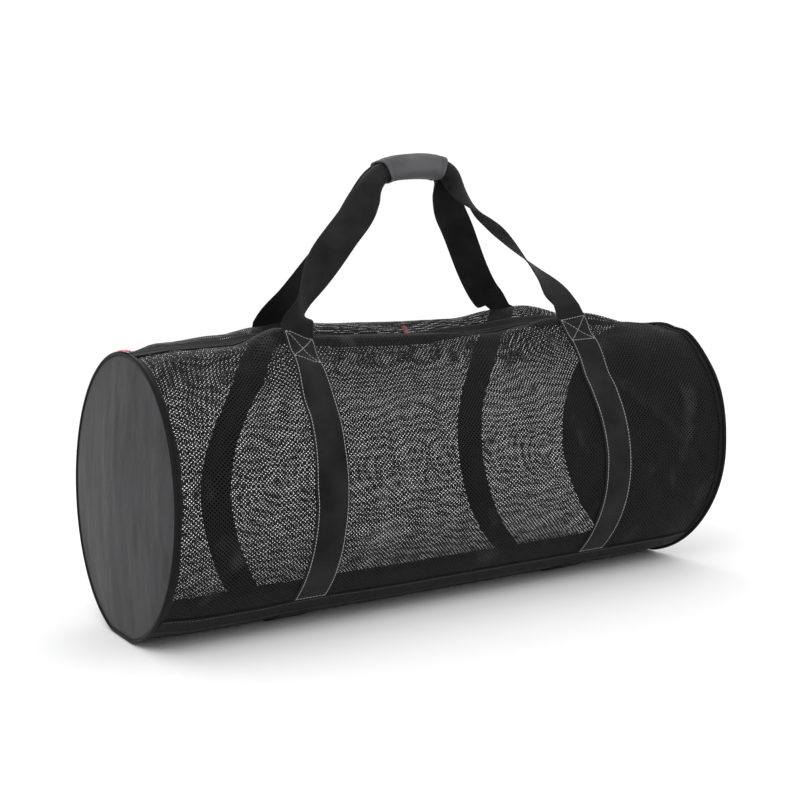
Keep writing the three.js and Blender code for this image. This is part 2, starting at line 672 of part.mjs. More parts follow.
function strap(name, side) {
  const lines = side > 0 ? ROUND_FRONT : ROUND_REAR;
  const { tapeTop } = side > 0 ? SEAMS.front : SEAMS.rear;
  const turns = lines.filter((angle) => angle >= BOX_TOP && angle <= tapeTop);
  const bodyRing = (angle, columns, fromEnd) => {
    const row = roundLine(side * angle) - side * fromEnd;
    const points = (offset) => columns.map((column) => gridPoint(column, row, offset));
    return { outer: points(STRAP[1]), inner: points(STRAP[0]) };
  };
  const body = (x, order) => {
    const middle = ALONG.indexOf(x);
    const columns = ACROSS.map((n) => middle + n * order);
    return turns.map((angle) => (
      bodyRing(angle, columns, angle === tapeTop ? 2 * SEAM_SHARE : 0)
    ));
  };
  const path = side > 0 ? HANDLE_PATHS.front : HANDLE_PATHS.rear;
  const flipped = (p) => (side > 0 ? p : new THREE.Vector3(p.x, -p.y, p.z));
  const handle = handleRings(path).map((ring) => ({
    outer: ring.outer.map(flipped),
    inner: ring.inner.map(flipped),
  }));
  const rings = [...body(-STRAP_AT, 1).reverse(), ...handle, ...body(STRAP_AT, -1)];
  const outer = rings.map((ring) => ring.outer);
  const inner = rings.map((ring) => ring.inner);
  return sheet(name, outer, inner, COLORS.webbing, 0.8, side > 0);
}

// The grip is a closed sleeve with a rounded section round both handles
function handleWrap() {
  const rows = HANDLE_PATHS.front.map(handleSpot);
  const inGrip = rows.filter((row, k) => HANDLE_PATHS.front[k].curl === 1);
  const curled = curledHalf();
  const halfDepth = GRIP_SPREAD + WEBBING + WRAP_SLACK;
  const halfHeight = curled.width + WEBBING + WRAP_SLACK;
  const loop = (row, wall) => {
    const before = rows[rows.indexOf(row) - 1];
    const after = rows[rows.indexOf(row) + 1];
    const tilt = Math.atan2(after.z - before.z, after.x - before.x);
    const points = [];
    for (let n = 0; n < WRAP_SIDES; n += 1) {
      const turn = (2 * Math.PI * (n + 0.5)) / WRAP_SIDES;
      const round = (v) => Math.sign(v) * Math.sqrt(Math.abs(v));
      const y = (halfDepth + wall) * round(Math.cos(turn));
      const h = (halfHeight + wall) * round(Math.sin(turn));
      points.push(new THREE.Vector3(
        row.x - Math.sin(tilt) * h,
        y,
        row.z + Math.cos(tilt) * h,
      ));
    }
    return points;
  };
  const loops = [
    ...inGrip.map((row) => loop(row, WRAP_WALL)),
    ...[...inGrip].reverse().map((row) => loop(row, 0)),
  ];
  return tube('handle_wrap', loops, true, COLORS.grip, 0.85);
}

const bag = new THREE.Group();
bag.name = 'mesh_dive_gear_bag';
bag.add(
  ...netPanels(),
  ...basePieces(),
  endPanel('end_panel_left', -1),
  endPanel('end_panel_right', 1),
  piping('end_piping_left', -1),
  piping('end_piping_right', 1),
  ...zipPieces(),
  ...zipFittings(),
  zipEndTab(),
  strap('strap_front', 1),
  strap('strap_rear', -1),
  handleWrap(),
);

export default bag;
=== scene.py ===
"""Looks of a mesh dive gear bag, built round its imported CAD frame.

Lengths here are millimetres, and meshes are made in metres.
"""

import math

import bpy
import numpy as np
from mathutils import Matrix, Vector


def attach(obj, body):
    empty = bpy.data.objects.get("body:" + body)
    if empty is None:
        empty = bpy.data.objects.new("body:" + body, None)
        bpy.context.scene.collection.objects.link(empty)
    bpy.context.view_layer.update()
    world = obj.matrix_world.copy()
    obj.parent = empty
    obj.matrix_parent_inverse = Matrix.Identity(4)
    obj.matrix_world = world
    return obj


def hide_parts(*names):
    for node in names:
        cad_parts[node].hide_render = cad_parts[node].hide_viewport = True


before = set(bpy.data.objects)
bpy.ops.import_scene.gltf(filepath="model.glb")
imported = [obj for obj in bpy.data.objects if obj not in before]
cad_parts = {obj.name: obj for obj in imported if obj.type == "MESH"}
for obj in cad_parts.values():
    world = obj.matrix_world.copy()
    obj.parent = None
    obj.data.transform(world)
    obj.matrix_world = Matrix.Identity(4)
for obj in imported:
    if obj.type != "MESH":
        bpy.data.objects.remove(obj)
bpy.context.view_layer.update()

MM = 0.001
SEED = 11

# Overall size, as in the part
LENGTH = 900.0
RADIUS = 190.0
REST_HEIGHT = 186.0
END_REST_HEIGHT = 181.6
TOP_LEAN = 8.6
CLOTH = 1.5
WEBBING = 1.8
GAP = 0.3
MIDDLE = REST_HEIGHT + GAP + WEBBING

# Tape and webbing are rounded off over this much of their edge, down to this
# share of their thickness, with a first step this far in
EDGE_ROUND = 1.4
EDGE_SHARE = 0.4
EDGE_STEP = 0.6

# Degrees between two columns round the section, and clear of a seam
TURN_STEP = 1.2
PANEL_CLEAR = 0.2
STRAP_CLEAR = 0.4

# Straps, handles and grip
STRAP_WIDTH = 49.0
STRAP_AT = 239.7
BOX_TOP = 22.0
BOX_FOOT = 33.0
STRAP_LEAN = {1: (2.0, -11.0), -1: (38.0, -11.0)}
LEAN_FULL = 35.0
LEAN_END = 112.0
HANDLE_TOP = 438.5
HANDLE_SPREAD = 85.0
GRIP_CURL = 55.0
GRIP_SPREAD = 19.5
WRAP_WALL = 2.4
WRAP_HALF_DEPTH = 22.6
WRAP_HALF_HEIGHT = 15.55

# Seams round the section, in degrees from the top
ZIP_TAPE_INNER = 1.1
MESH_TOP = 5.0
ZIP_TAPE_OUTER = 9.0
PULL_LINE = 15.5
TAPE_TOP = {1: 138.7, -1: 154.3}
MESH_FOOT = {1: 144.7, -1: 160.3}
TAPE_FOOT = {1: 150.7, -1: 166.3}
TAPE_STOP = 445.5

# Ends and zip
PIPING_RADIUS = 2.8
PIPING_MIDDLE = 2.57
FLANGE = 7.5
END_BULGE = 9.0
SLIDER = {"length": 13.0, "width": 11.0, "height": 5.5, "lift": 3.4}
PULL = {"length": 40.0, "width": 9.0, "height": 2.0, "lift": 3.0}
TAB = {"length": 30.0, "width": 9.0, "height": 1.6, "front_share": 0.8}

# The inner face's part of an end's uv is moved aside by this many metres, so that the inner face
# can take its painted shade
INSIDE_SHADE_SHIFT = 10.0

# Net
NET_HALF = 2.8
NET_CORNER = 1.35
NET_LIFT = 0.28
NET_PITCH = 2.8
NET_YARN = 1.3
NET_STEP = 6.0
NET_GATHER = 0.22
NET_GATHER_END = 52.0
NET_GATHER_RUN = 24.0
NET_JITTER = 0.06
NET_KNOT_JITTER = 0.05

# The section is a circle whose radius is scaled at these angles from the top
ANGLE_STOPS = np.array([0.0, 21.0, 31.0, 52.0, 90.0, 135.0, 180.0])

# Columns: share of the half length, then valley, crest, box, shoulder, side,
# low and floor, where a pair is the front's share and the rear's
SECTIONS = [
    (-1.00, 0.975, (0.975, 0.975), (0.975, 0.975), (0.975, 0.975), 0.975, 0.975, 0.975),
    (-0.86, 0.99, (1.03, 1.09), (1.01, 1.03), 1.00, 1.00, 1.00, 1.00),
    (-0.70, 0.99, (1.06, 1.13), (1.03, 1.04), 1.00, 1.00, 1.00, 1.00),
    (-0.587, 1.01, (1.20, 1.18), (1.12, 1.08), 1.00, 1.00, (0.99, 1.00), 1.00),
    (-0.478, 0.99, (1.12, 1.21), (1.04, 1.09), (0.99, 1.00), 0.99, 0.99, 1.00),
    (-0.25, 0.94, (1.11, 1.19), (1.06, 1.07), 1.00, 1.00, 1.00, 1.00),
    (0.00, 0.93, (1.11, 1.175), (1.06, 1.07), 1.00, 1.00, 1.00, 1.00),
    (0.24, 0.98, (1.06, 1.175), (1.04, 1.07), 1.00, 1.00, 1.00, 1.00),
    (0.478, 1.02, (1.17, 1.24), (1.12, 1.13), (1.00, 1.01), 1.00, 1.00, 1.00),
    (0.587, 1.02, (1.205, 1.265), (1.12, 1.14), 1.01, 1.00, 1.00, 1.00),
    (0.86, 1.00, (1.08, 1.09), (1.09, 1.05), (1.05, 1.02), 1.01, 1.00, 1.00),
    (1.00, 0.975, (1.03, 1.00), (1.07, 1.02), (1.05, 1.01), (1.005, 1.00), 0.985, 0.975),
]

# Columns: share of the half length, angle, turn, run, width and rise, where
# the last three are shares of the radius. The part's own folds come first,
# and the finer creases that only show on the cloth follow.
FOLDS = [
    (-0.78, 66, 42, 0.50, 0.14, -0.028),
    (-0.74, 96, 40, 0.55, 0.15, -0.028),
    (-0.72, 80, 42, 0.47, 0.14, 0.016),
    (-0.24, 60, 70, 0.37, 0.17, -0.026),
    (0.18, 78, 20, 0.58, 0.18, -0.021),
    (0.06, 110, -12, 0.68, 0.18, -0.021),
    (0.78, 62, -40, 0.42, 0.15, -0.026),
    (0.40, 36, 8, 0.47, 0.14, -0.026),
    (-0.60, -70, -50, 0.63, 0.18, -0.026),
    (0.10, -84, 30, 0.79, 0.20, -0.026),
    (0.74, -74, 35, 0.47, 0.16, -0.026),
    (-0.80, 52, 38, 0.45, 0.060, -0.014),
    (-0.70, 74, 44, 0.50, 0.055, 0.012),
    (-0.62, 90, 46, 0.45, 0.060, -0.013),
    (-0.40, 84, 62, 0.40, 0.060, -0.010),
    (-0.33, 70, 66, 0.36, 0.055, 0.010),
    (-0.12, 48, 24, 0.50, 0.060, -0.011),
    (0.08, 62, 16, 0.52, 0.060, 0.009),
    (0.30, 52, -20, 0.40, 0.060, -0.012),
    (0.34, 74, -34, 0.45, 0.060, 0.009),
    (0.70, 70, -44, 0.38, 0.055, 0.012),
    (0.84, 84, -50, 0.38, 0.060, -0.013),
    (0.80, 112, -30, 0.36, 0.065, -0.010),
    (-0.50, -52, -40, 0.45, 0.060, -0.012),
    (-0.10, -60, 28, 0.50, 0.060, 0.011),
    (0.44, -66, 42, 0.45, 0.060, -0.012),
    (0.86, -90, 30, 0.35, 0.060, -0.012),
    (0.10, 17, 4, 0.60, 0.050, -0.016),
    (-0.08, -15, -6, 0.55, 0.050, -0.016),
    (0.42, 13, 18, 0.22, 0.045, -0.020),
]
FOLD_FADE = 60.0
REST_FADE = 30.0

# Columns: x as a share of STRAP_AT, spread from the grip to the bag, lift from
# RADIUS to HANDLE_TOP, turn in degrees and curl as a share of GRIP_CURL
HANDLE_FRONT = [
    (-0.955, 0.98, 0.11, 30, 0), (-0.94, 0.93, 0.16, 50, 0), (-0.905, 0.85, 0.225, 44, 0),
    (-0.845, 0.71, 0.3, 28, 0), (-0.715, 0.5, 0.435, -6, 0), (-0.57, 0.3, 0.57, -32, 0),
    (-0.44, 0.16, 0.69, -30, 0.11), (-0.335, 0.085, 0.815, -20, 0.47),
    (-0.255, 0.03, 0.905, -8, 0.84), (-0.175, 0, 0.957, 0, 1), (-0.08, 0, 0.985, 0, 1),
    (0.03, 0, 0.998, 0, 1), (0.14, 0, 1, 0, 1), (0.235, 0, 0.988, 0, 1),
    (0.305, 0.03, 0.948, -10, 0.86), (0.35, 0.11, 0.855, -36, 0.51),
    (0.405, 0.16, 0.77, -60, 0.22), (0.47, 0.19, 0.7, -78, 0.07), (0.55, 0.24, 0.63, -84, 0),
    (0.615, 0.33, 0.565, -80, 0), (0.7, 0.465, 0.47, -68, 0), (0.805, 0.66, 0.35, -48, 0),
    (0.9, 0.85, 0.235, -22, 0), (0.96, 0.97, 0.155, -8, 0),
]
HANDLE_REAR = [
    (-0.793, 0.98, 0.11, -14, 0), (-0.76, 0.89, 0.165, -26, 0), (-0.685, 0.71, 0.26, -31, 0),
    (-0.575, 0.48, 0.405, -32, 0), (-0.48, 0.31, 0.525, -32, 0), (-0.39, 0.16, 0.66, -28, 0.11),
    (-0.315, 0.085, 0.8, -18, 0.47), (-0.25, 0.03, 0.902, -8, 0.84), (-0.175, 0, 0.957, 0, 1),
    (-0.08, 0, 0.985, 0, 1), (0.03, 0, 0.998, 0, 1), (0.14, 0, 1, 0, 1), (0.235, 0, 0.988, 0, 1),
    (0.3, 0.02, 0.942, -6, 0.88), (0.34, 0.07, 0.845, -18, 0.51), (0.4, 0.13, 0.735, -28, 0.15),
    (0.485, 0.27, 0.625, -32, 0), (0.645, 0.57, 0.395, -29, 0), (0.775, 0.8, 0.25, -26, 0),
    (0.875, 0.95, 0.18, -18, 0), (0.94, 1.02, 0.15, -8, 0),
]
HANDLE_STEPS = 8

# Colours are linear
BLACK_NET = (0.0085, 0.0085, 0.009)
BLACK_CLOTH = (0.009, 0.009, 0.0095)
BASE_BLACK = (0.016, 0.016, 0.0165)
BLACK_WEB = (0.009, 0.009, 0.0095)
END_GREY = (0.0285, 0.0285, 0.0305)
# Painted shade: the end cloth's inner face, inside the bag, is painted near black
INSIDE_SHADE = (0.003, 0.003, 0.0032)
GRIP_GREY = (0.078, 0.078, 0.082)
THREAD = (0.34, 0.34, 0.35)
DARK_THREAD = (0.085, 0.085, 0.088)
PULL_RED = (0.17, 0.028, 0.033)
TAB_RED = (0.52, 0.11, 0.14)
PIPING_BLACK = (0.007, 0.007, 0.0075)
TEETH_BLACK = (0.010, 0.010, 0.011)
ENAMEL_BLACK = (0.020, 0.020, 0.022)


# The skin

def ease(t):
    return t * t * (3 - 2 * t)


def side_table(side):
    """Shares for one side: a row for each section and a column for each angle."""
    pick = lambda value: value[side] if isinstance(value, tuple) else value
    return np.array([[pick(value) for value in row[1:]] for row in SECTIONS])


SHARES = np.stack([side_table(0), side_table(1)])
SECTION_STOPS = np.array([row[0] for row in SECTIONS]) * LENGTH / 2


def fold_rise(x, angle):
    rise = np.zeros_like(x)
    for at, fold_angle, turn, run, width, height in FOLDS:
        dx = x - at * LENGTH / 2
        ds = np.radians(angle - fold_angle) * RADIUS
        c, s = math.cos(math.radians(turn)), math.sin(math.radians(turn))
        along = (dx * c - ds * s) / (run * RADIUS)
        across = (dx * s + ds * c) / (width * RADIUS)
        rise += height * RADIUS * np.exp(-along ** 2 - across ** 2)
    return rise * ease(np.clip((LENGTH / 2 - np.abs(x)) / FOLD_FADE, 0, 1))


def between(stops, at):
    """The stop before each value, and its eased share of the way to the next."""
    k = np.clip(np.searchsorted(stops, at) - 1, 0, len(stops) - 2)
    return k, ease(np.clip((at - stops[k]) / (stops[k + 1] - stops[k]), 0, 1))


def skin_radius(x, angle, offset):
    k, t = between(ANGLE_STOPS, np.abs(angle))
    j, s = between(SECTION_STOPS, x)
    side = (angle < 0).astype(int)
    share = lambda row: SHARES[side, row, k] * (1 - t) + SHARES[side, row, k + 1] * t
    radius = RADIUS * (share(j) * (1 - s) + share(j + 1) * s) + fold_rise(x, angle)
    to_end = ease(np.clip((LENGTH / 2 - np.abs(x)) / REST_FADE, 0, 1))
    rest = END_REST_HEIGHT * (1 - to_end) + REST_HEIGHT * to_end
    down = -np.cos(np.radians(angle))
    floor = np.where(down > 0.5, (rest + offset) / np.maximum(down, 0.5), np.inf)
    return np.minimum(radius + offset, floor)


def strap_lean(x, angle):
    """How far the cloth is drawn along the bag with its leaning straps."""
    left, right = (np.where(angle >= 0, *pair) for pair in zip(STRAP_LEAN[1], STRAP_LEAN[-1]))
    turn = np.abs(angle)
    up = ease(np.clip((LEAN_END - turn) / (LEAN_END - LEAN_FULL), 0, 1))
    near = ease(np.clip(turn / BOX_TOP, 0, 1))
    inner = STRAP_AT - STRAP_WIDTH / 2
    outer = STRAP_AT + STRAP_WIDTH / 2
    share = np.minimum((LENGTH / 2 - np.abs(x)) / (LENGTH / 2 - outer), 1)
    across = np.clip((x + inner) / (2 * inner), 0, 1)
    return (left * (1 - across) + right * across) * share * up * near


def skin(x, angle, offset):
    """Points of the skin in millimetres, for arrays that broadcast together.
    Angles past 180 run up the rear side."""
    x, angle, offset = np.broadcast_arrays(
        np.asarray(x, float), np.asarray(angle, float), np.asarray(offset, float))
    angle = np.where(angle > 180, angle - 360, angle)
    r = skin_radius(x, angle, offset)
    z = r * np.cos(np.radians(angle))
    y = -r * np.sin(np.radians(angle))
    leaned = x + strap_lean(x, angle) + TOP_LEAN * z / RADIUS
    return np.stack([leaned, y, z + MIDDLE], -1)


# Meshes

def add_object(name, data):
    made = bpy.data.objects.new(name, data)
    bpy.context.scene.collection.objects.link(made)
    return made


def make(name, points, faces, material, uv=None, sharp=50):
    """A piece that rides on the bag. Points are millimetres, uv metres. Edges
    that bend by more than sharp degrees stay sharp."""
    mesh = bpy.data.meshes.new(name)
    faces = faces.tolist() if isinstance(faces, np.ndarray) else faces
    mesh.from_pydata((points * MM).tolist(), [], faces)
    mesh.update()
    if uv is not None:
        layer = mesh.uv_layers.new(name="cloth")
        index = np.empty(len(mesh.loops), int)
        mesh.loops.foreach_get("vertex_index", index)
        layer.data.foreach_set("uv", np.asarray(uv, np.float32)[index].ravel())
    mesh.shade_smooth()
    mesh.set_sharp_from_angle(angle=math.radians(sharp))
    mesh.materials.append(material)
    piece = add_object(name, mesh)
    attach(piece, "root")
    return piece


def outward(points, faces):
    """The faces turned so that the closed mesh's volume is positive."""
    a, b, c, d = (points[faces[:, k]] for k in range(4))
    volume = np.einsum("ij,ij->i", a, np.cross(b, c)) + np.einsum("ij,ij->i", a, np.cross(c, d))
    return faces[:, ::-1] if volume.sum() < 0 else faces


def grid_faces(index):
    quads = [index[:-1, :-1], index[:-1, 1:], index[1:, 1:], index[1:, :-1]]
    return np.stack(quads, -1).reshape(-1, 4)


def make_sheet(name, outer, inner, uv, material):
    """A piece that is a closed sheet between two grids."""
    rows, columns = outer.shape[:2]
    count = rows * columns
    index = np.arange(count).reshape(rows, columns)
    top = grid_faces(index)
    rim = np.concatenate([index[0], index[1:, -1], index[-1, -2::-1], index[-2:0:-1, 0]])
    ahead = np.roll(rim, -1)
    walls = np.stack([ahead, rim, rim + count, ahead + count], -1)
    points = np.concatenate([outer.reshape(-1, 3), inner.reshape(-1, 3)])
    faces = outward(points, np.concatenate([top, top[:, ::-1] + count, walls]))
    return make(name, points, faces, material, np.concatenate([uv.reshape(-1, 2)] * 2))


def ring_faces(rows, columns, loop):
    """Quads over a grid that closes across, and along too if it is a loop."""
    index = np.arange(rows * columns).reshape(rows, columns)
    index = np.concatenate([index, index[:, :1]], 1)
    if loop:
        index = np.concatenate([index, index[:1]], 0)
    return grid_faces(index)


def thickness(distance, full):
    """Thickness of webbing or tape near its edge, which is rounded off."""
    return full * (EDGE_SHARE + (1 - EDGE_SHARE) * ease(np.clip(distance / EDGE_ROUND, 0, 1)))


def edge_steps(half, count):
    """Places across a strip, closer together at its two edges."""
    middle = np.linspace(-half + EDGE_ROUND, half - EDGE_ROUND, count)
    return np.concatenate([[-half, -half + EDGE_STEP], middle, [half - EDGE_STEP, half]])


def grid_uv(points, columns):
    """Uv in metres: across by the given places, and along by real length."""
    mid = points[:, points.shape[1] // 2]
    along = np.concatenate([[0], np.cumsum(np.linalg.norm(np.diff(mid, axis=0), axis=1))])
    u, v = np.broadcast_arrays(np.asarray(columns)[None, :], along[:, None])
    return np.stack([u, v], -1) * MM


def strip(name, x, angle, places, full, material):
    """A tape on the skin, with its places across it in millimetres."""
    edge = places.max() - np.abs(places)
    outer = skin(x, angle, GAP + thickness(edge, full)[None, :])
    return make_sheet(name, outer, skin(x, angle, GAP), grid_uv(outer, places), material)


def turn_places(first, last, step):
    count = max(int(abs(last - first) / step), 2)
    return np.linspace(first, last, count + 1)


# Net sides

# Pulls in the net's own plane, one row each: direction across the pull in
# degrees, distance between two pulls, how far it moves the yarn, and phase
NET_PULLS = {
    1: [(24, 31, 0.75, 0.4), (38, 47, 0.9, 2.1), (155, 39, 0.6, 1.2), (8, 83, 1.4, 0.9)],
    -1: [(157, 34, 0.8, 1.7), (141, 52, 0.9, 0.2), (21, 41, 0.6, 2.6), (96, 71, 1.3, 1.1)],
}
PULL_HOLD = 24.0
PULL_PATCH = (61.0, 93.0)
PULL_WAVER = {"reach": 6.0, "run": 47.0}


def pulled(x, run, side, last):
    """Places in the net moved by its pulls, and kept at its seams. The pulls
    waver, and come and go in patches."""
    edge = np.minimum(np.minimum(LENGTH / 2 - np.abs(x), run), last - run)
    hold = ease(np.clip(edge / PULL_HOLD, 0, 1))
    dx, dr = np.zeros_like(x), np.zeros_like(x)
    for degrees, pitch, reach, phase in NET_PULLS[side]:
        c, s = math.cos(math.radians(degrees)), math.sin(math.radians(degrees))
        across = x * c + run * s
        along = run * c - x * s
        patch = (np.sin(along / PULL_PATCH[0] + 2 * phase)
                 * np.sin(across / PULL_PATCH[1] + 3 * phase))
        waver = PULL_WAVER["reach"] * np.sin(along / PULL_WAVER["run"])
        wave = np.sin(2 * math.pi * (across + waver) / pitch + phase)
        move = reach * hold * (0.5 + 0.5 * patch) * wave
        dx += c * move
        dr += s * move
    return x + dx, run + dr


def gathered(turn):
    """How much thicker the yarn lies near the zip, where the net is gathered."""
    return 1 + NET_GATHER * ease(np.clip((NET_GATHER_END - turn) / NET_GATHER_RUN, 0, 1))


def diagonal_net(side, arc):
    """Diagonal strands between small square knots: x, run, lift and faces."""
    columns, rows = round(LENGTH / NET_HALF), round(arc / NET_HALF)
    i, j = np.meshgrid(np.arange(columns + 1), np.arange(rows + 1), indexing="ij")
    knot = (i + j) % 2 == 0
    number = np.full(knot.shape, -1)
    number[knot] = np.arange(knot.sum())
    faces = [np.arange(knot.sum())[:, None] * 4 + np.arange(4)]
    up = knot[:-1, :-1]
    a, b = number[:-1, :-1][up] * 4, number[1:, 1:][up] * 4
    faces.append(np.stack([a, b + 3, b + 2, a + 1], -1))
    down = knot[:-1, 1:]
    a, b = number[:-1, 1:][down] * 4, number[1:, :-1][down] * 4
    faces.append(np.stack([a + 3, b + 2, b + 1, a], -1))
    i, j = i[knot], j[knot]
    rng = np.random.default_rng(SEED + side)
    x, run = pulled(-LENGTH / 2 + i * LENGTH / columns, j * arc / rows, side, arc)
    x = x + rng.normal(0, NET_JITTER, x.shape)
    run = run + rng.normal(0, NET_JITTER, x.shape)
    uneven = 1 + rng.normal(0, NET_KNOT_JITTER, x.shape)
    size = NET_CORNER * gathered(MESH_TOP + np.degrees(run / RADIUS)) * uneven
    corners = np.array([(1, 0), (0, 1), (-1, 0), (0, -1)])
    x = x[:, None] + size[:, None] * corners[:, 0]
    run = run[:, None] + size[:, None] * corners[:, 1]
    lift = np.where(i % 2 == 0, 1, -1)[:, None] * np.ones(4)
    return x.ravel(), run.ravel(), lift.ravel(), np.concatenate(faces)


def straight_net(side, arc):
    """Straight strands that cross: x, run, lift and faces."""
    parts, faces, count = [], [], 0
    for across, along, swapped in ((arc, LENGTH, False), (LENGTH, arc, True)):
        lines = np.linspace(NET_YARN / 2, across - NET_YARN / 2, round(across / NET_PITCH))
        steps = np.linspace(0, along, round(along / NET_STEP) + 1)
        middle, length = np.meshgrid(lines, steps, indexing="ij")
        x, run = (middle, length) if swapped else (length, middle)
        x, run = pulled(x - LENGTH / 2, run, side, arc)
        half = NET_YARN / 2 * gathered(MESH_TOP + np.degrees(run / RADIUS))
        lift = (-1 if swapped else 1) * np.ones_like(half)
        dx, dr = (half, 0 * half) if swapped else (0 * half, half)
        pair = [np.stack([a - b, a + b], -1) for a, b in ((x, dx), (run, dr), (lift, 0))]
        index = count + np.arange(x.size * 2).reshape(*x.shape, 2)
        quads = [index[:, :-1, 0], index[:, 1:, 0], index[:, 1:, 1], index[:, :-1, 1]]
        quads = np.stack(quads[::-1] if swapped else quads, -1).reshape(-1, 4)
        parts.append([values.ravel() for values in pair])
        faces.append(quads)
        count += x.size * 2
    x, run, lift = (np.concatenate(values) for values in zip(*parts))
    return x, run, lift, np.concatenate(faces)


def net_panel(name, side, material):
    """A net side with real holes. The rear one is cut along the grain."""
    arc = math.radians(MESH_FOOT[side] - MESH_TOP) * RADIUS
    x, run, lift, faces = diagonal_net(side, arc) if side > 0 else straight_net(side, arc)
    x = np.clip(x, -LENGTH / 2, LENGTH / 2)
    run = np.clip(run, 0, arc)
    angle = side * (MESH_TOP + np.degrees(run / RADIUS))
    points = skin(x, angle, -CLOTH / 2 + NET_LIFT * lift)
    uv = np.stack([run, x], -1) * MM
    faces = faces if side > 0 else faces[:, ::-1]
    piece = make(name + "_net", points, faces, material, uv, sharp=180)
    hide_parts(name)


# Base, seam tapes and webbing under it

def under_turns(seam, clear):
    """Places under the bag from the front seam to the rear one."""
    return turn_places(seam[1] + clear, 360 - seam[-1] - clear, TURN_STEP)[:, None]


def base_panel(material):
    x = turn_places(-LENGTH / 2 + GAP, LENGTH / 2 - GAP, 6)[None, :]
    turns = under_turns(MESH_FOOT, PANEL_CLEAR)
    uv = np.stack(np.broadcast_arrays(np.radians(turns) * RADIUS, x), -1) * MM
    piece = make_sheet("base_panel_cloth", skin(x, turns, 0), skin(x, turns, -CLOTH), uv,
                       material)
    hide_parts("base_panel")


def base_straps(material):
    places = edge_steps(STRAP_WIDTH / 2, 9)
    turns = under_turns(TAPE_FOOT, STRAP_CLEAR)
    for node, middle in (("base_strap_left", -STRAP_AT), ("base_strap_right", STRAP_AT)):
        piece = strip(node + "_webbing", (middle + places)[None, :], turns, places,
                      WEBBING, material)
        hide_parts(node)


def long_tape(node, low, high, material):
    """A tape along the bag between two angles."""
    half = math.radians(abs(high - low)) * RADIUS / 2
    places = edge_steps(half, 7)
    turns = (low + high) / 2 + np.degrees(places / RADIUS)
    x = turn_places(-TAPE_STOP, TAPE_STOP, 5)
    piece = strip(node + "_cloth", x[:, None], turns[None, :], places, CLOTH, material)
    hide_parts(node)


# Ends

RIM = np.linspace(-180, 180, 145)[:-1]
END_FADE = 0.12

# Heights of an end's wrinkles
WRINKLES = {"fine": 0.20, "finer": 0.13, "broad": 0.9, "slanted": 0.7, "crossed": 0.45}

# Columns: share of the flange's width, and its lift off the skin
FLANGE_SECTION = np.array([(0.0, 1.5), (0.35, 1.3), (0.7, 1.0), (0.92, 0.9), (1.0, 0.5)])
FLANGE_UNDER = 0.12
FLANGE_INSET = 0.6


def rim(side, offset, out):
    points = skin(side * LENGTH / 2, RIM, offset)
    points[:, 0] += side * out
    return points


def wrinkles(y, z, seed):
    """Fine upright wrinkles of the end cloth, in millimetres."""
    wander = 9 * np.sin(z / 41 + seed) + 5 * np.sin(z / 17 + 2 * seed)
    fine = (WRINKLES["fine"] * np.sin((y + wander) / 5.6)
            + WRINKLES["finer"] * np.sin((y - 0.7 * wander) / 3.4 + seed))
    patch = 0.55 + 0.45 * np.sin(y / 52 + seed) * np.sin(z / 60 - seed)
    broad = WRINKLES["broad"] * np.sin((y + 0.25 * z) / 27 + seed)
    slanted = WRINKLES["slanted"] * np.sin((z - 0.4 * y) / 31) * np.sin(y / 37 + seed)
    crossed = WRINKLES["crossed"] * np.sin(y / 11 + z / 17 + seed) * np.sin(z / 13 - y / 21)
    return fine * patch + broad + slanted + crossed


def end_panel(node, side, material):
    shares = np.concatenate([[1.0, 0.985, 0.97], np.linspace(0.94, 0.02, 40)])[:, None, None]
    edge = rim(side, 0, 0)[None]
    middle = np.array([side * LENGTH / 2, 0, MIDDLE])
    flat = middle + (edge - middle) * shares
    bulge = END_BULGE * (1 - shares[..., 0] ** 2)
    fade = ease(np.clip((1 - shares[..., 0]) / END_FADE, 0, 1))
    bulge = bulge + fade * wrinkles(flat[..., 1], flat[..., 2] - MIDDLE, side + 2)
    layers = []
    for out in (GAP + CLOTH, GAP):
        layer = flat.copy()
        layer[..., 0] += side * (out + bulge)
        layers.append(layer)
    rows, columns = layers[0].shape[:2]
    count = rows * columns
    top = ring_faces(rows, columns, False)
    edge_index = np.arange(columns)
    ahead = np.roll(edge_index, -1)
    walls = np.stack([ahead, edge_index, edge_index + count, ahead + count], -1)
    points = np.concatenate([layer.reshape(-1, 3) for layer in layers])
    hub = [points[count - columns:count].mean(0), points[2 * count - columns:].mean(0)]
    points = np.concatenate([points, hub])
    last = np.arange(count - columns, count)
    last_ahead = np.roll(last, -1)
    cap = np.stack([last, last_ahead, np.full(columns, 2 * count)], -1)
    back = np.stack([last_ahead + count, last + count, np.full(columns, 2 * count + 1)], -1)
    parts = (top, top[:, ::-1] + count, walls, cap, back)
    faces = [face for part in parts for face in part[:, ::side].tolist()]
    uv = points[:, [1, 2]] * MM
    # The inner layer's uv is moved aside, so that the inner face gets its painted shade
    uv[count:2 * count, 0] += INSIDE_SHADE_SHIFT
    uv[-1, 0] += INSIDE_SHADE_SHIFT
    piece = make(node + "_cloth", points, faces, material, uv, sharp=180)
    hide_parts(node)


def piping(node, side, material):
    turns = np.linspace(0, 2 * math.pi, 11)[:-1]
    loops = []
    for turn in turns:
        up = PIPING_MIDDLE + PIPING_RADIUS * math.cos(turn)
        out = GAP + CLOTH / 2 + PIPING_RADIUS * math.sin(turn)
        loops.append(rim(side, up, out))
    grid = np.stack(loops, 1)
    points = grid.reshape(-1, 3)
    faces = outward(points, ring_faces(*grid.shape[:2], True))
    length = np.arange(len(RIM)) * 2 * math.pi * RADIUS / len(RIM)
    u, v = np.broadcast_arrays((turns * PIPING_RADIUS)[None], length[:, None])
    uv = np.stack([u, v], -1).reshape(-1, 2) * MM
    piece = make(node + "_cord", points, faces, material, uv)
    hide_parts(node)


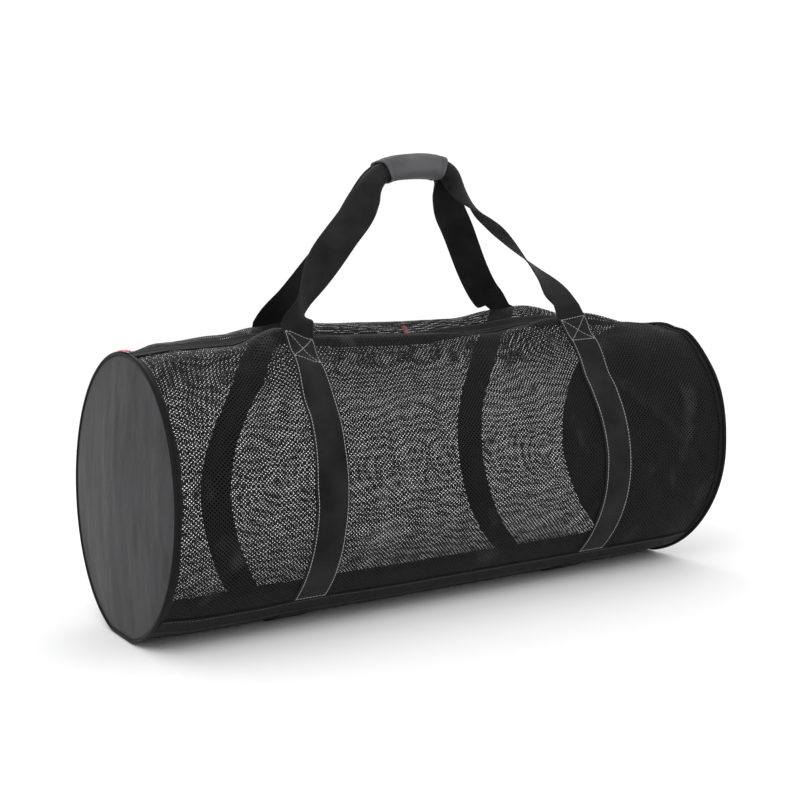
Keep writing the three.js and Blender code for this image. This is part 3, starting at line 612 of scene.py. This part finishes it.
def flange(node, side, material):
    """The piping's sewn edge, a little uneven, over the end of the net."""
    turns = np.sort(RIM[np.abs(RIM) > ZIP_TAPE_OUTER + 1] % 360)
    wave = 0.9 * np.sin(np.radians(turns * 7) + side) + 0.6 * np.sin(np.radians(turns * 17 + 40))
    shares, lift = FLANGE_SECTION.T
    x = side * (LENGTH / 2 - FLANGE_INSET - shares[None, :] * (FLANGE + wave)[:, None])
    outer = skin(x, turns[:, None], lift[None, :])
    inner = skin(x, turns[:, None], FLANGE_UNDER)
    make_sheet(node + "_flange", outer, inner, grid_uv(outer, shares * FLANGE), material)


# Straps and handles

def handle_spots(rows):
    rows = np.array(rows, float)
    return np.stack([
        rows[:, 0] * STRAP_AT,
        GRIP_SPREAD + (HANDLE_SPREAD - GRIP_SPREAD) * rows[:, 1],
        RADIUS + (HANDLE_TOP - RADIUS) * rows[:, 2] + MIDDLE,
        rows[:, 3],
        rows[:, 4] * GRIP_CURL,
    ], 1)


def smooth_path(rows, steps):
    """Catmull-Rom samples through the rows, with the last row at the end."""
    n = len(rows)
    places = np.linspace(0, n - 1, (n - 1) * steps + 1)
    k = np.minimum(places.astype(int), n - 2)
    t = (places - k)[:, None]
    a, b, c, d = (rows[np.clip(k + m, 0, n - 1)] for m in (-1, 0, 1, 2))
    bend = 2 * a - 5 * b + 4 * c - d
    twist = 3 * b - a - 3 * c + d
    return 0.5 * (2 * b + (c - a) * t + bend * t ** 2 + twist * t ** 3)


def unit(v):
    return v / np.linalg.norm(v, axis=-1, keepdims=True)


def handle_rings(rows, places, full):
    """Outer and inner grids of one handle, in the front strap's frame."""
    samples = smooth_path(handle_spots(rows), HANDLE_STEPS)
    at = samples[:, :3] * [1, -1, 1]
    turn = np.radians(samples[:, 3])[:, None]
    curl = np.radians(np.clip(samples[:, 4], 0, GRIP_CURL))
    along = unit(np.gradient(at, axis=0))
    face = unit(np.array([0.0, -1.0, 0.0]) + along * along[:, 1:2])
    face = face * np.cos(turn) + np.cross(along, face) * np.sin(turn)
    across = np.cross(along, face)
    n = len(at)
    k = np.arange(n)
    free = ease(np.clip(np.minimum(k, n - 1 - k) / (2 * HANDLE_STEPS), 0, 1))[:, None]
    sewn = np.where(k < n / 2, 1.0, -1.0)[:, None] * np.array([1.0, 0, 0])
    across = unit(sewn * (1 - free) + across * free)
    face = unit(np.cross(across, along))
    bend = np.maximum(curl / (STRAP_WIDTH / 4), 1e-6)[:, None]
    angle = bend * np.abs(places)[None, :]
    side = np.sign(places)[None, :]
    sideways = (side * np.sin(angle) / bend)[..., None]
    depth = ((1 - np.cos(angle)) / bend)[..., None]
    inner = at[:, None] + across[:, None] * sideways - face[:, None] * depth
    normal = (face[:, None] * np.cos(angle)[..., None]
              + across[:, None] * (side * np.sin(angle))[..., None])
    edge = STRAP_WIDTH / 2 - np.abs(places)
    outer = inner + normal * thickness(edge, full)[None, :, None]
    return outer, inner


def strap(node, side, material):
    places = edge_steps(STRAP_WIDTH / 2, 11)
    turns = turn_places(BOX_TOP, TAPE_TOP[side] - STRAP_CLEAR, TURN_STEP)
    edge = STRAP_WIDTH / 2 - np.abs(places)
    legs = []
    for middle, order, step in ((-STRAP_AT, 1, -1), (STRAP_AT, -1, 1)):
        x = (middle + places * order)[None, :]
        angle = side * turns[::step][:, None]
        outer = skin(x, angle, GAP + thickness(edge, WEBBING)[None, :])
        legs.append((outer, skin(x, angle, GAP)))
    rows = HANDLE_FRONT if side > 0 else HANDLE_REAR
    handle = [grid * [1, side, 1] for grid in handle_rings(rows, places, WEBBING)]
    outer = np.concatenate([legs[0][0], handle[0], legs[1][0]])
    inner = np.concatenate([legs[0][1], handle[1], legs[1][1]])
    uv = grid_uv(outer, places)
    piece = make_sheet(node + "_webbing", outer, inner, uv, material)
    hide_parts(node)


# Stitches

STITCH = {"pitch": 4.6, "length": 3.9, "radius": 0.55, "rise": 0.42}

# Columns: share of the length, of the rise and of the radius
STITCH_RINGS = [(-0.5, -0.3, 0.6), (0, 1.0, 1.0), (0.5, -0.3, 0.6)]

# Distance of a strap's stitches from its edge, in millimetres, and of the
# box's and the tapes' stitches from their edges, in degrees
STRAP_INSET = 3.0
BOX_INSET = 0.8
CROSS_INSET = 1.4
TAPE_INSET = 1.0
ZIP_INSET = 0.9
ZIP_INNER_LINE = 4.0


def stitch_points(line, normals):
    """Short raised tubes along one line of points."""
    step = np.linalg.norm(np.diff(line, axis=0), axis=1)
    length = np.concatenate([[0], np.cumsum(step)])
    count = max(int(length[-1] / STITCH["pitch"]), 1)
    places = (np.arange(count) + 0.5) * length[-1] / count
    read = lambda values, at: np.stack(
        [np.interp(at, length, values[:, k]) for k in range(3)], -1)
    spots, normal = read(line, places), unit(read(normals, places))
    along = unit(read(line, places + 0.5) - read(line, places - 0.5))
    side = np.cross(along, normal)
    rings = []
    for share, lift, radius in STITCH_RINGS:
        centre = spots + along * share * STITCH["length"] + normal * lift * STITCH["rise"]
        for turn in (0.25, 0.75, 1.25, 1.75):
            c, s = math.cos(turn * math.pi), math.sin(turn * math.pi)
            rings.append(centre + (side * c + normal * s) * radius * STITCH["radius"])
    return np.stack(rings, 1)


STITCH_FACES = np.array(
    [[4 * r + k, 4 * r + (k + 1) % 4, 4 * r + 4 + (k + 1) % 4, 4 * r + 4 + k]
     for r in range(2) for k in range(4)] + [[3, 2, 1, 0], [8, 9, 10, 11]])


def stitches(name, runs, material):
    points = np.concatenate([stitch_points(line, normals) for line, normals in runs])
    base = np.arange(len(points))[:, None, None] * 12
    faces = (STITCH_FACES[None] + base).reshape(-1, 4)
    return make(name, points.reshape(-1, 3), faces, material, sharp=180)


def skin_run(x, angle, offset):
    """A line on the skin with its outward directions."""
    x, angle = np.broadcast_arrays(np.asarray(x, float), np.asarray(angle, float))
    line = skin(x, angle, offset)
    turned = np.radians(angle)
    return line, np.stack([np.zeros_like(turned), -np.sin(turned), np.cos(turned)], -1)


def strap_runs(side):
    """Both edges of each strap, and its box with a cross and a foot line."""
    inset = STRAP_WIDTH / 2 - STRAP_INSET
    top = GAP + WEBBING
    long = np.linspace(BOX_TOP + BOX_INSET, TAPE_TOP[side] - BOX_INSET, 90)
    box = np.linspace(BOX_TOP + BOX_INSET, BOX_FOOT, 12)
    runs = []
    for middle in (-STRAP_AT, STRAP_AT):
        for sign in (-1, 1):
            runs.append(skin_run(middle + sign * inset, side * long, top))
            slant = np.linspace(-sign, sign, 12) * inset
            runs.append(skin_run(middle + slant, side * box, top))
        level = np.linspace(-inset, inset, 12)
        for angle in (box[0], box[-1], TAPE_TOP[side] - CROSS_INSET):
            runs.append(skin_run(middle + level, np.full(12, side * angle), top))
    return runs


def tape_runs(angles):
    x = np.linspace(-TAPE_STOP + STRAP_INSET, TAPE_STOP - STRAP_INSET, 220)
    return [skin_run(x, angle, GAP + CLOTH) for angle in angles]


# Zip

TEETH = {"pitch": 1.9, "length": 0.646, "reach": 2.3, "height": 2.0, "shift": 0.45, "lift": 0.35}
CORE = {"inset": 0.12, "height": 0.8}
BOX_FACES = np.array([[3, 2, 1, 0], [4, 5, 6, 7], [0, 1, 5, 4], [1, 2, 6, 5], [2, 3, 7, 6],
                      [3, 0, 4, 7]])

# Columns: from and to along the slider, half width, from and to upward, as
# shares of its half length, half width and height
SLIDER_PLATES = [
    (-1, 1, 1, 0, 0.28),
    (-1, 1, 0.8, 0.5, 0.72),
    (-0.55, -0.2, 0.25, 0.2, 0.6),
    (-0.7, 0.6, 0.22, 0.7, 1),
]
PULL_SAG = 1.6
TAB_DROOP = 0.9


def zip_chain(material):
    """Interlocked teeth on a low core that follows the valley."""
    x = np.arange(-TAPE_STOP + 1, TAPE_STOP - 1, TEETH["pitch"])
    left, right = skin(x, -ZIP_TAPE_INNER, 0), skin(x, ZIP_TAPE_INNER, 0)
    centre = (left + right) / 2
    corners = np.array([(-1, -1, 0), (1, -1, 0), (1, 1, 0), (-1, 1, 0),
                        (-0.6, -0.8, 1), (0.6, -0.8, 1), (0.6, 0.8, 1), (-0.6, 0.8, 1)])
    size = [TEETH["length"], TEETH["reach"], TEETH["height"]]
    shift = np.where(np.arange(len(x)) % 2 == 0, 1, -1)[:, None] * [[0, TEETH["shift"], 0]]
    teeth = (centre + shift)[:, None] + corners * size + [0, 0, TEETH["lift"]]
    faces = (BOX_FACES + np.arange(len(x))[:, None, None] * 8).reshape(-1, 4)
    core_x = turn_places(-TAPE_STOP, TAPE_STOP, 8)
    a, b = skin(core_x, -ZIP_TAPE_INNER, 0), skin(core_x, ZIP_TAPE_INNER, 0)
    inset, up = (b - a) * CORE["inset"], [0, 0, CORE["height"]]
    a, b = a + inset, b - inset
    core = np.stack([a, b, b + up, a + up], 1)
    core_faces = ring_faces(len(core), 4, False)
    ends = [[3, 2, 1, 0], [4 * len(core) - 4 + k for k in range(4)]]
    core_faces = np.concatenate([core_faces, ends]) + teeth.size // 3
    points = np.concatenate([teeth.reshape(-1, 3), core.reshape(-1, 3)])
    faces = np.concatenate([faces, core_faces])
    piece = make("zipper_chain_teeth", points, faces, material, sharp=40)
    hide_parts("zipper_chain")


def boxes(name, parts, material, bevel):
    """Bevelled boxes joined in one piece, each given by its two corners."""
    corners = np.array([(0, 0, 0), (1, 0, 0), (1, 1, 0), (0, 1, 0),
                        (0, 0, 1), (1, 0, 1), (1, 1, 1), (0, 1, 1)])
    points, faces = [], []
    for low, high in parts:
        faces.append(BOX_FACES + 8 * len(points))
        points.append(low + corners * (high - low))
    piece = make(name, np.concatenate(points), np.concatenate(faces), material, sharp=35)
    edge = piece.modifiers.new("edge", "BEVEL")
    edge.width = bevel * MM
    edge.segments = 3
    return piece


def ribbon(name, line, across, width, full, material):
    """A flat cloth tape along a line, with rounded edges."""
    places = edge_steps(width / 2, 5)
    along = unit(np.gradient(line, axis=0))
    across = unit(across - along * (along @ across)[:, None])
    normal = np.cross(along, across)
    normal *= np.sign(normal[:, 2:3].mean())
    inner = line[:, None] + across[:, None] * places[None, :, None]
    outer = inner + normal[:, None] * thickness(width / 2 - np.abs(places), full)[None, :, None]
    return make_sheet(name, outer, inner, grid_uv(outer, places), material)


def zip_fittings(metal, red, faded):
    """The slider, its pull and the tab at the near end of the zip."""
    valley = skin(0.0, ZIP_TAPE_INNER, SLIDER["lift"])
    x, z = valley[0], valley[2]
    size = np.array([SLIDER["length"] / 2, SLIDER["width"] / 2, SLIDER["height"]])
    side, top = size[1:]
    plates = [([x, 0, z] + size * [back, -half, low], [x, 0, z] + size * [ahead, half, high])
              for back, ahead, half, low, high in SLIDER_PLATES]
    slider = boxes("zipper_slider_body", plates, metal, 0.5)
    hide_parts("zipper_slider")
    crest = skin(0.0, -PULL_LINE, GAP + CLOTH + PULL["lift"])
    foot = np.array([x, side + PULL["height"], z + top / 2])
    head = foot + unit(crest - foot) * PULL["length"]
    share = np.linspace(0, 1, 18)[:, None]
    sag = np.array([0, 0, -PULL_SAG]) * 4 * share * (1 - share)
    line = foot + (head - foot) * share + sag + [0, 0, 0.4]
    pull = ribbon("zipper_pull_tape", line, np.array([1.0, 0, 0]), PULL["width"],
                  PULL["height"] * 0.8, red)
    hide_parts("zipper_pull")
    rise = rim(-1, PIPING_MIDDLE + PIPING_RADIUS, GAP)
    seat = rise[np.argmin(np.abs(RIM - MESH_TOP))]
    front = TAB["length"] * TAB["front_share"]
    y = np.linspace(-front, TAB["length"] - front, 22)
    droop = TAB_DROOP * (1 - ((y - y.mean()) / (TAB["length"] / 2)) ** 2)
    line = np.stack([np.full(22, seat[0]), y, seat[2] + GAP + droop], -1)
    tab = ribbon("zipper_end_tab_cloth", line, np.array([1.0, 0, 0]), TAB["width"],
                 TAB["height"] * 0.9, faded)
    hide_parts("zipper_end_tab")


# Grip

WRAP_SIDES = 56
WRAP_TURNS = (np.arange(WRAP_SIDES) + 0.5) * 2 * math.pi / WRAP_SIDES
WRAP_STEPS = 12
WRAP_LENGTH = 112.0
WRAP_CORNER = 0.62
HEM = {"at": 0.085, "width": 0.018, "dip": 0.9}


def grip_path():
    """x and z of the middle line where the handles are held together."""
    held = [k for k, row in enumerate(HANDLE_FRONT) if row[4] == 1]
    samples = smooth_path(handle_spots(HANDLE_FRONT), WRAP_STEPS)
    return samples[held[0] * WRAP_STEPS:held[-1] * WRAP_STEPS + 1, [0, 2]]


def grip_ring(path, wall, puff):
    """Closed rounded sections along the arched middle line of the grip."""
    slope = np.gradient(path, axis=0)
    tilt = np.arctan2(slope[:, 1], slope[:, 0])[:, None]
    rounded = lambda v: np.sign(v) * np.abs(v) ** WRAP_CORNER
    y = (WRAP_HALF_DEPTH + wall + puff) * rounded(np.cos(WRAP_TURNS))[None, :]
    h = (WRAP_HALF_HEIGHT + wall + puff) * rounded(np.sin(WRAP_TURNS))[None, :]
    return np.stack([
        path[:, :1] - np.sin(tilt) * h, y + 0 * tilt, path[:, 1:] + np.cos(tilt) * h], -1)


def handle_wrap(material, thread):
    """The padded grip, with a hem near each end and a seam underneath."""
    path = grip_path()
    n = len(path)
    share = np.linspace(0, 1, n)
    hem = sum(np.exp(-((share - at) / HEM["width"]) ** 2) for at in (HEM["at"], 1 - HEM["at"]))
    arch = np.sin(math.pi * share)
    puff = 0.7 * arch - HEM["dip"] * hem
    ripple = 0.35 * np.sin(9 * WRAP_TURNS[None, :] + 4 * share[:, None]) * arch[:, None]
    seam = 0.8 * np.exp(-((WRAP_TURNS[None, :] - 1.5 * math.pi) / 0.06) ** 2)
    outer = grip_ring(path, WRAP_WALL, puff[:, None] + ripple - seam - 0.3)
    inner = grip_ring(path, 0.2, 0)
    rings = np.concatenate([outer, inner[::-1]])
    points = rings.reshape(-1, 3)
    faces = outward(points, ring_faces(*rings.shape[:2], True))
    length = np.concatenate([share, share[::-1]]) * WRAP_LENGTH
    u, v = np.broadcast_arrays((WRAP_TURNS * WRAP_HALF_DEPTH)[None, :], length[:, None])
    uv = np.stack([u, v], -1).reshape(-1, 2) * MM
    piece = make("handle_wrap_pad", points, faces, material, uv)
    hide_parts("handle_wrap")
    runs = []
    middle = np.stack([path[:, 0], 0 * path[:, 0], path[:, 1]], -1)
    for k in (round(HEM["at"] * n), round((1 - HEM["at"]) * n) - 1):
        line = np.concatenate([outer[k], outer[k][:1]])
        runs.append((line, unit(line - middle[k])))
    stitches("handle_wrap_stitches", runs, thread)


# Materials

SHEEN_ROUGHNESS = 0.45
CLOTH_SPECULAR = 0.06
ROUGH_SPREAD = 0.08


class Cloth:
    """Builds one node material step by step."""

    def __init__(self, name, roughness, sheen=0.0):
        self.material = bpy.data.materials.new(name)
        self.material.use_nodes = True
        self.tree = self.material.node_tree
        self.surface = self.tree.nodes["Principled BSDF"]
        self.surface.inputs["Roughness"].default_value = roughness
        self.surface.inputs["Sheen Weight"].default_value = sheen
        self.surface.inputs["Sheen Roughness"].default_value = SHEEN_ROUGHNESS
        self.surface.inputs["Specular IOR Level"].default_value = CLOTH_SPECULAR
        self.normal = None

    def node(self, kind, inputs=None, **settings):
        made = self.tree.nodes.new(kind)
        for key, value in settings.items():
            setattr(made, key, value)
        for key, value in (inputs or {}).items():
            if isinstance(value, bpy.types.NodeSocket):
                self.tree.links.new(value, made.inputs[key])
            else:
                made.inputs[key].default_value = value
        return made

    def math(self, operation, a, b=0.0):
        return self.node("ShaderNodeMath", {0: a, 1: b}, operation=operation).outputs[0]

    def mix(self, factor, a, b):
        made = self.node("ShaderNodeMix", {0: factor, 6: a, 7: b}, data_type="RGBA")
        return made.outputs[2]

    def uv(self):
        made = self.node("ShaderNodeUVMap", uv_map="cloth").outputs["UV"]
        parts = self.node("ShaderNodeSeparateXYZ", {0: made})
        return parts.outputs[0], parts.outputs[1]

    def noise(self, scale, detail=3.0, stretch=None):
        where = self.node("ShaderNodeTexCoord").outputs["Object"]
        if stretch:
            where = self.node("ShaderNodeMapping", {"Vector": where, "Scale": stretch}).outputs[0]
        settings = {"Vector": where, "Scale": scale, "Detail": detail}
        return self.node("ShaderNodeTexNoise", settings).outputs[0]

    def wave(self, along, pitch):
        return self.math("SINE", self.math("MULTIPLY", along, 2 * math.pi / (pitch * MM)))

    def bump(self, height, distance, strength=1.0):
        settings = {"Height": height, "Distance": distance * MM, "Strength": strength}
        if self.normal:
            settings["Normal"] = self.normal
        self.normal = self.node("ShaderNodeBump", settings).outputs[0]

    def finish(self, color, roughness=None):
        self.tree.links.new(color, self.surface.inputs["Base Color"])
        if roughness:
            self.tree.links.new(roughness, self.surface.inputs["Roughness"])
        if self.normal:
            self.tree.links.new(self.normal, self.surface.inputs["Normal"])
        return self.material


def tone(color, factor):
    return tuple(min(channel * factor, 1.0) for channel in color) + (1.0,)


def scaled(cloth, value, low, high, start=0.0, stop=1.0):
    """The value between start and stop, brought to between low and high."""
    return cloth.node("ShaderNodeMapRange", {
        "Value": value, "From Min": start, "From Max": stop, "To Min": low, "To Max": high,
    }).outputs[0]


def woven(name, color, pitch, relief, roughness, sheen, wrinkle=0.0, edge=0.0, inside_shade=None,
          spread=(0.72, 1.32)):
    """Cloth with a real-size weave whose raised threads are painted lighter as a painted highlight,
    soft mottling between two shares of its colour and, if asked, worn edges and a painted shade on
    its inner face."""
    cloth = Cloth(name, roughness, sheen)
    u, v = cloth.uv()
    height = cloth.math("MULTIPLY", cloth.wave(u, pitch[0]), cloth.wave(v, pitch[1]))
    cloth.bump(height, relief)
    cloth.bump(cloth.noise(900, 2), 0.06)
    if wrinkle:
        cloth.bump(cloth.noise(34, 4, (1, 1, 0.45)), wrinkle)
    mottle = scaled(cloth, cloth.noise(19, 5), -0.9, 1.9)
    shade = cloth.mix(mottle, tone(color, spread[0]), tone(color, spread[1]))
    # Painted highlight: the weave's raised threads are painted lighter
    shade = cloth.mix(scaled(cloth, height, 0.0, 0.42), shade, tone(color, 1.9))
    if edge:
        rub = scaled(cloth, cloth.math("ABSOLUTE", u), 0.0, 0.55, (edge - 2.2) * MM, edge * MM)
        shade = cloth.mix(rub, shade, tone(color, 2.4))
    # Painted shade: the inner face, inside the bag, is painted in this darker colour
    if inside_shade:
        inside = cloth.math("GREATER_THAN", u, INSIDE_SHADE_SHIFT / 2)
        shade = cloth.mix(inside, shade, tone(inside_shade, 1))
    rough = scaled(cloth, mottle, roughness - ROUGH_SPREAD, roughness + ROUGH_SPREAD)
    return cloth.finish(shade, rough)


def net_material():
    """Matt yarn with a few lighter patches where it catches the light."""
    cloth = Cloth("net_yarn", 0.62, 0.03)
    mottle = cloth.noise(14, 4)
    cloth.bump(cloth.noise(1400, 2), 0.12)
    shade = cloth.mix(mottle, tone(BLACK_NET, 0.65), tone(BLACK_NET, 1.6))
    glint = scaled(cloth, cloth.noise(19, 6, (1.0, 1.0, 0.6)), 0.0, 0.7, 0.58, 0.72)
    shade = cloth.mix(glint, shade, tone(BLACK_NET, 4.0))
    return cloth.finish(shade, scaled(cloth, mottle, 0.5, 0.72))


def plain(name, color, roughness, grain, relief, coat=0.0):
    """Plastic, enamel or thread with a fine grain."""
    cloth = Cloth(name, roughness)
    cloth.surface.inputs["Coat Weight"].default_value = coat
    speck = cloth.noise(grain, 3)
    cloth.bump(speck, relief)
    shade = cloth.mix(cloth.noise(40, 3), tone(color, 0.8), tone(color, 1.3))
    return cloth.finish(shade, scaled(cloth, speck, roughness - 0.1, roughness + 0.1))


# Stage, in metres, watts and degrees

FLOOR_HALF = 14.0
FLOOR_WHITE = 0.95
SKY_STRENGTH = 1.06
CAMERA = {"place": (-0.9958, -1.5791, 0.4666), "turn": (31.72, 5.62, -1.46), "lens": 56.66,
          "sensor": 36.0}
LIGHT_TARGET = (0.0, 0.0, 0.28)

# Columns: name, place, size and power
LIGHTS = [
    ("key", (-1.9, -1.7, 2.3), 1.8, 30),
    ("fill", (2.3, -1.5, 1.3), 1.8, 6),
    ("back", (0.6, 2.2, 2.0), 1.6, 10),
]


def add_stage():
    mesh = bpy.data.meshes.new("studio_floor")
    corners = [(x * FLOOR_HALF, y * FLOOR_HALF, 0) for x, y in ((-1, -1), (1, -1), (1, 1), (-1, 1))]
    mesh.from_pydata(corners, [], [(0, 1, 2, 3)])
    floor = add_object("studio_floor", mesh)
    paint = bpy.data.materials.new("floor_paint")
    paint.use_nodes = True
    surface = paint.node_tree.nodes["Principled BSDF"]
    surface.inputs["Base Color"].default_value = (FLOOR_WHITE, FLOOR_WHITE, FLOOR_WHITE, 1)
    surface.inputs["Roughness"].default_value = 0.9
    mesh.materials.append(paint)
    world = bpy.data.worlds.new("studio")
    world.use_nodes = True
    sky = world.node_tree.nodes["Background"]
    sky.inputs["Color"].default_value = (1, 1, 1, 1)
    sky.inputs["Strength"].default_value = SKY_STRENGTH
    bpy.context.scene.world = world


def add_light(name, place, size, power):
    light = bpy.data.lights.new(name, "AREA")
    light.shape = "DISK"
    light.size = size
    light.energy = power
    lamp = add_object(name, light)
    lamp.location = place
    lamp.rotation_mode = "QUATERNION"
    lamp.rotation_quaternion = (Vector(place) - Vector(LIGHT_TARGET)).to_track_quat("Z", "Y")


def add_camera():
    """The photograph's own viewpoint."""
    yaw, dip, roll = (math.radians(angle) for angle in CAMERA["turn"])
    level = Vector((math.sin(yaw), math.cos(yaw), 0))
    forward = level * math.cos(dip) - Vector((0, 0, math.sin(dip)))
    right = Vector((math.cos(yaw), -math.sin(yaw), 0))
    up = right.cross(forward)
    across = right * math.cos(roll) + up * math.sin(roll)
    above = up * math.cos(roll) - right * math.sin(roll)
    turn = Matrix((across, above, -forward)).transposed()
    camera = bpy.data.cameras.new("camera")
    camera.sensor_width = CAMERA["sensor"]
    camera.lens = CAMERA["lens"]
    holder = add_object("camera", camera)
    holder.matrix_world = Matrix.Translation(CAMERA["place"]) @ turn.to_4x4()
    bpy.context.scene.camera = holder


def build():
    net = net_material()
    # The webbing's wide mottling is partly random tone and partly painted shade in its creases with
    # painted sheen
    webbing = woven("webbing_weave", BLACK_WEB, pitch=(1.9, 1.3), relief=0.22, roughness=0.62,
                    sheen=0.04, wrinkle=0.5, edge=STRAP_WIDTH / 2, spread=(0.45, 2.0))
    base = woven("base_weave", BASE_BLACK, pitch=(2.3, 2.6), relief=0.16, roughness=0.6,
                 sheen=0.03, wrinkle=0.8, spread=(0.5, 1.7))
    tape = woven("seam_tape_weave", BLACK_WEB, pitch=(1.2, 1.0), relief=0.16, roughness=0.66,
                 sheen=0.03)
    zip_tape = woven("zip_tape_weave", BLACK_NET, pitch=(1.0, 1.0), relief=0.12, roughness=0.7,
                     sheen=0.03)
    ends = woven("end_weave", END_GREY, pitch=(0.8, 0.8), relief=0.06, roughness=0.5,
                 sheen=0.05, wrinkle=2.6, inside_shade=INSIDE_SHADE, spread=(0.6, 1.42))
    grip = woven("grip_weave", GRIP_GREY, pitch=(0.9, 0.9), relief=0.10, roughness=0.72,
                 sheen=0.1, wrinkle=0.5)
    red = woven("pull_weave", PULL_RED, pitch=(1.1, 0.9), relief=0.14, roughness=0.7, sheen=0.3)
    faded = woven("tab_weave", TAB_RED, pitch=(1.1, 0.9), relief=0.14, roughness=0.7, sheen=0.3)
    binding = woven("flange_weave", BLACK_CLOTH, pitch=(0.8, 0.8), relief=0.10, roughness=0.62,
                    sheen=0.03)
    cord = plain("piping_coat", PIPING_BLACK, roughness=0.48, grain=500, relief=0.05)
    teeth = plain("teeth_plastic", TEETH_BLACK, roughness=0.38, grain=700, relief=0.04)
    metal = plain("slider_enamel", ENAMEL_BLACK, roughness=0.32, grain=600, relief=0.03, coat=0.4)
    thread = plain("light_thread", THREAD, roughness=0.7, grain=2200, relief=0.05)
    dark_thread = plain("dark_thread", DARK_THREAD, roughness=0.7, grain=2200, relief=0.05)

    base_panel(base)
    base_straps(webbing)
    seam_angles, zip_angles = [], []
    for word, side in (("front", 1), ("rear", -1)):
        net_panel("mesh_panel_" + word, side, net)
        seam = (side * TAPE_TOP[side], side * TAPE_FOOT[side])
        long_tape("base_tape_" + word, min(seam), max(seam), tape)
        edges = (side * ZIP_TAPE_INNER, side * ZIP_TAPE_OUTER)
        long_tape("zipper_tape_" + word, min(edges), max(edges), zip_tape)
        strap("strap_" + word, side, webbing)
        stitches("strap_" + word + "_stitches", strap_runs(side), thread)
        seam_angles += [side * (TAPE_TOP[side] + TAPE_INSET), side * (TAPE_FOOT[side] - TAPE_INSET)]
        zip_angles += [side * (ZIP_TAPE_OUTER - ZIP_INSET), side * ZIP_INNER_LINE]
    for word, side in (("left", -1), ("right", 1)):
        end_panel("end_panel_" + word, side, ends)
        piping("end_piping_" + word, side, cord)
        flange("end_piping_" + word, side, binding)
    stitches("base_tape_stitches", tape_runs(seam_angles), dark_thread)
    stitches("zipper_tape_stitches", tape_runs(zip_angles), dark_thread)
    zip_chain(teeth)
    zip_fittings(metal, red, faded)
    handle_wrap(grip, dark_thread)


add_camera()
add_stage()
for light in LIGHTS:
    add_light(*light)
bpy.context.scene.view_settings.view_transform = "Standard"
build()
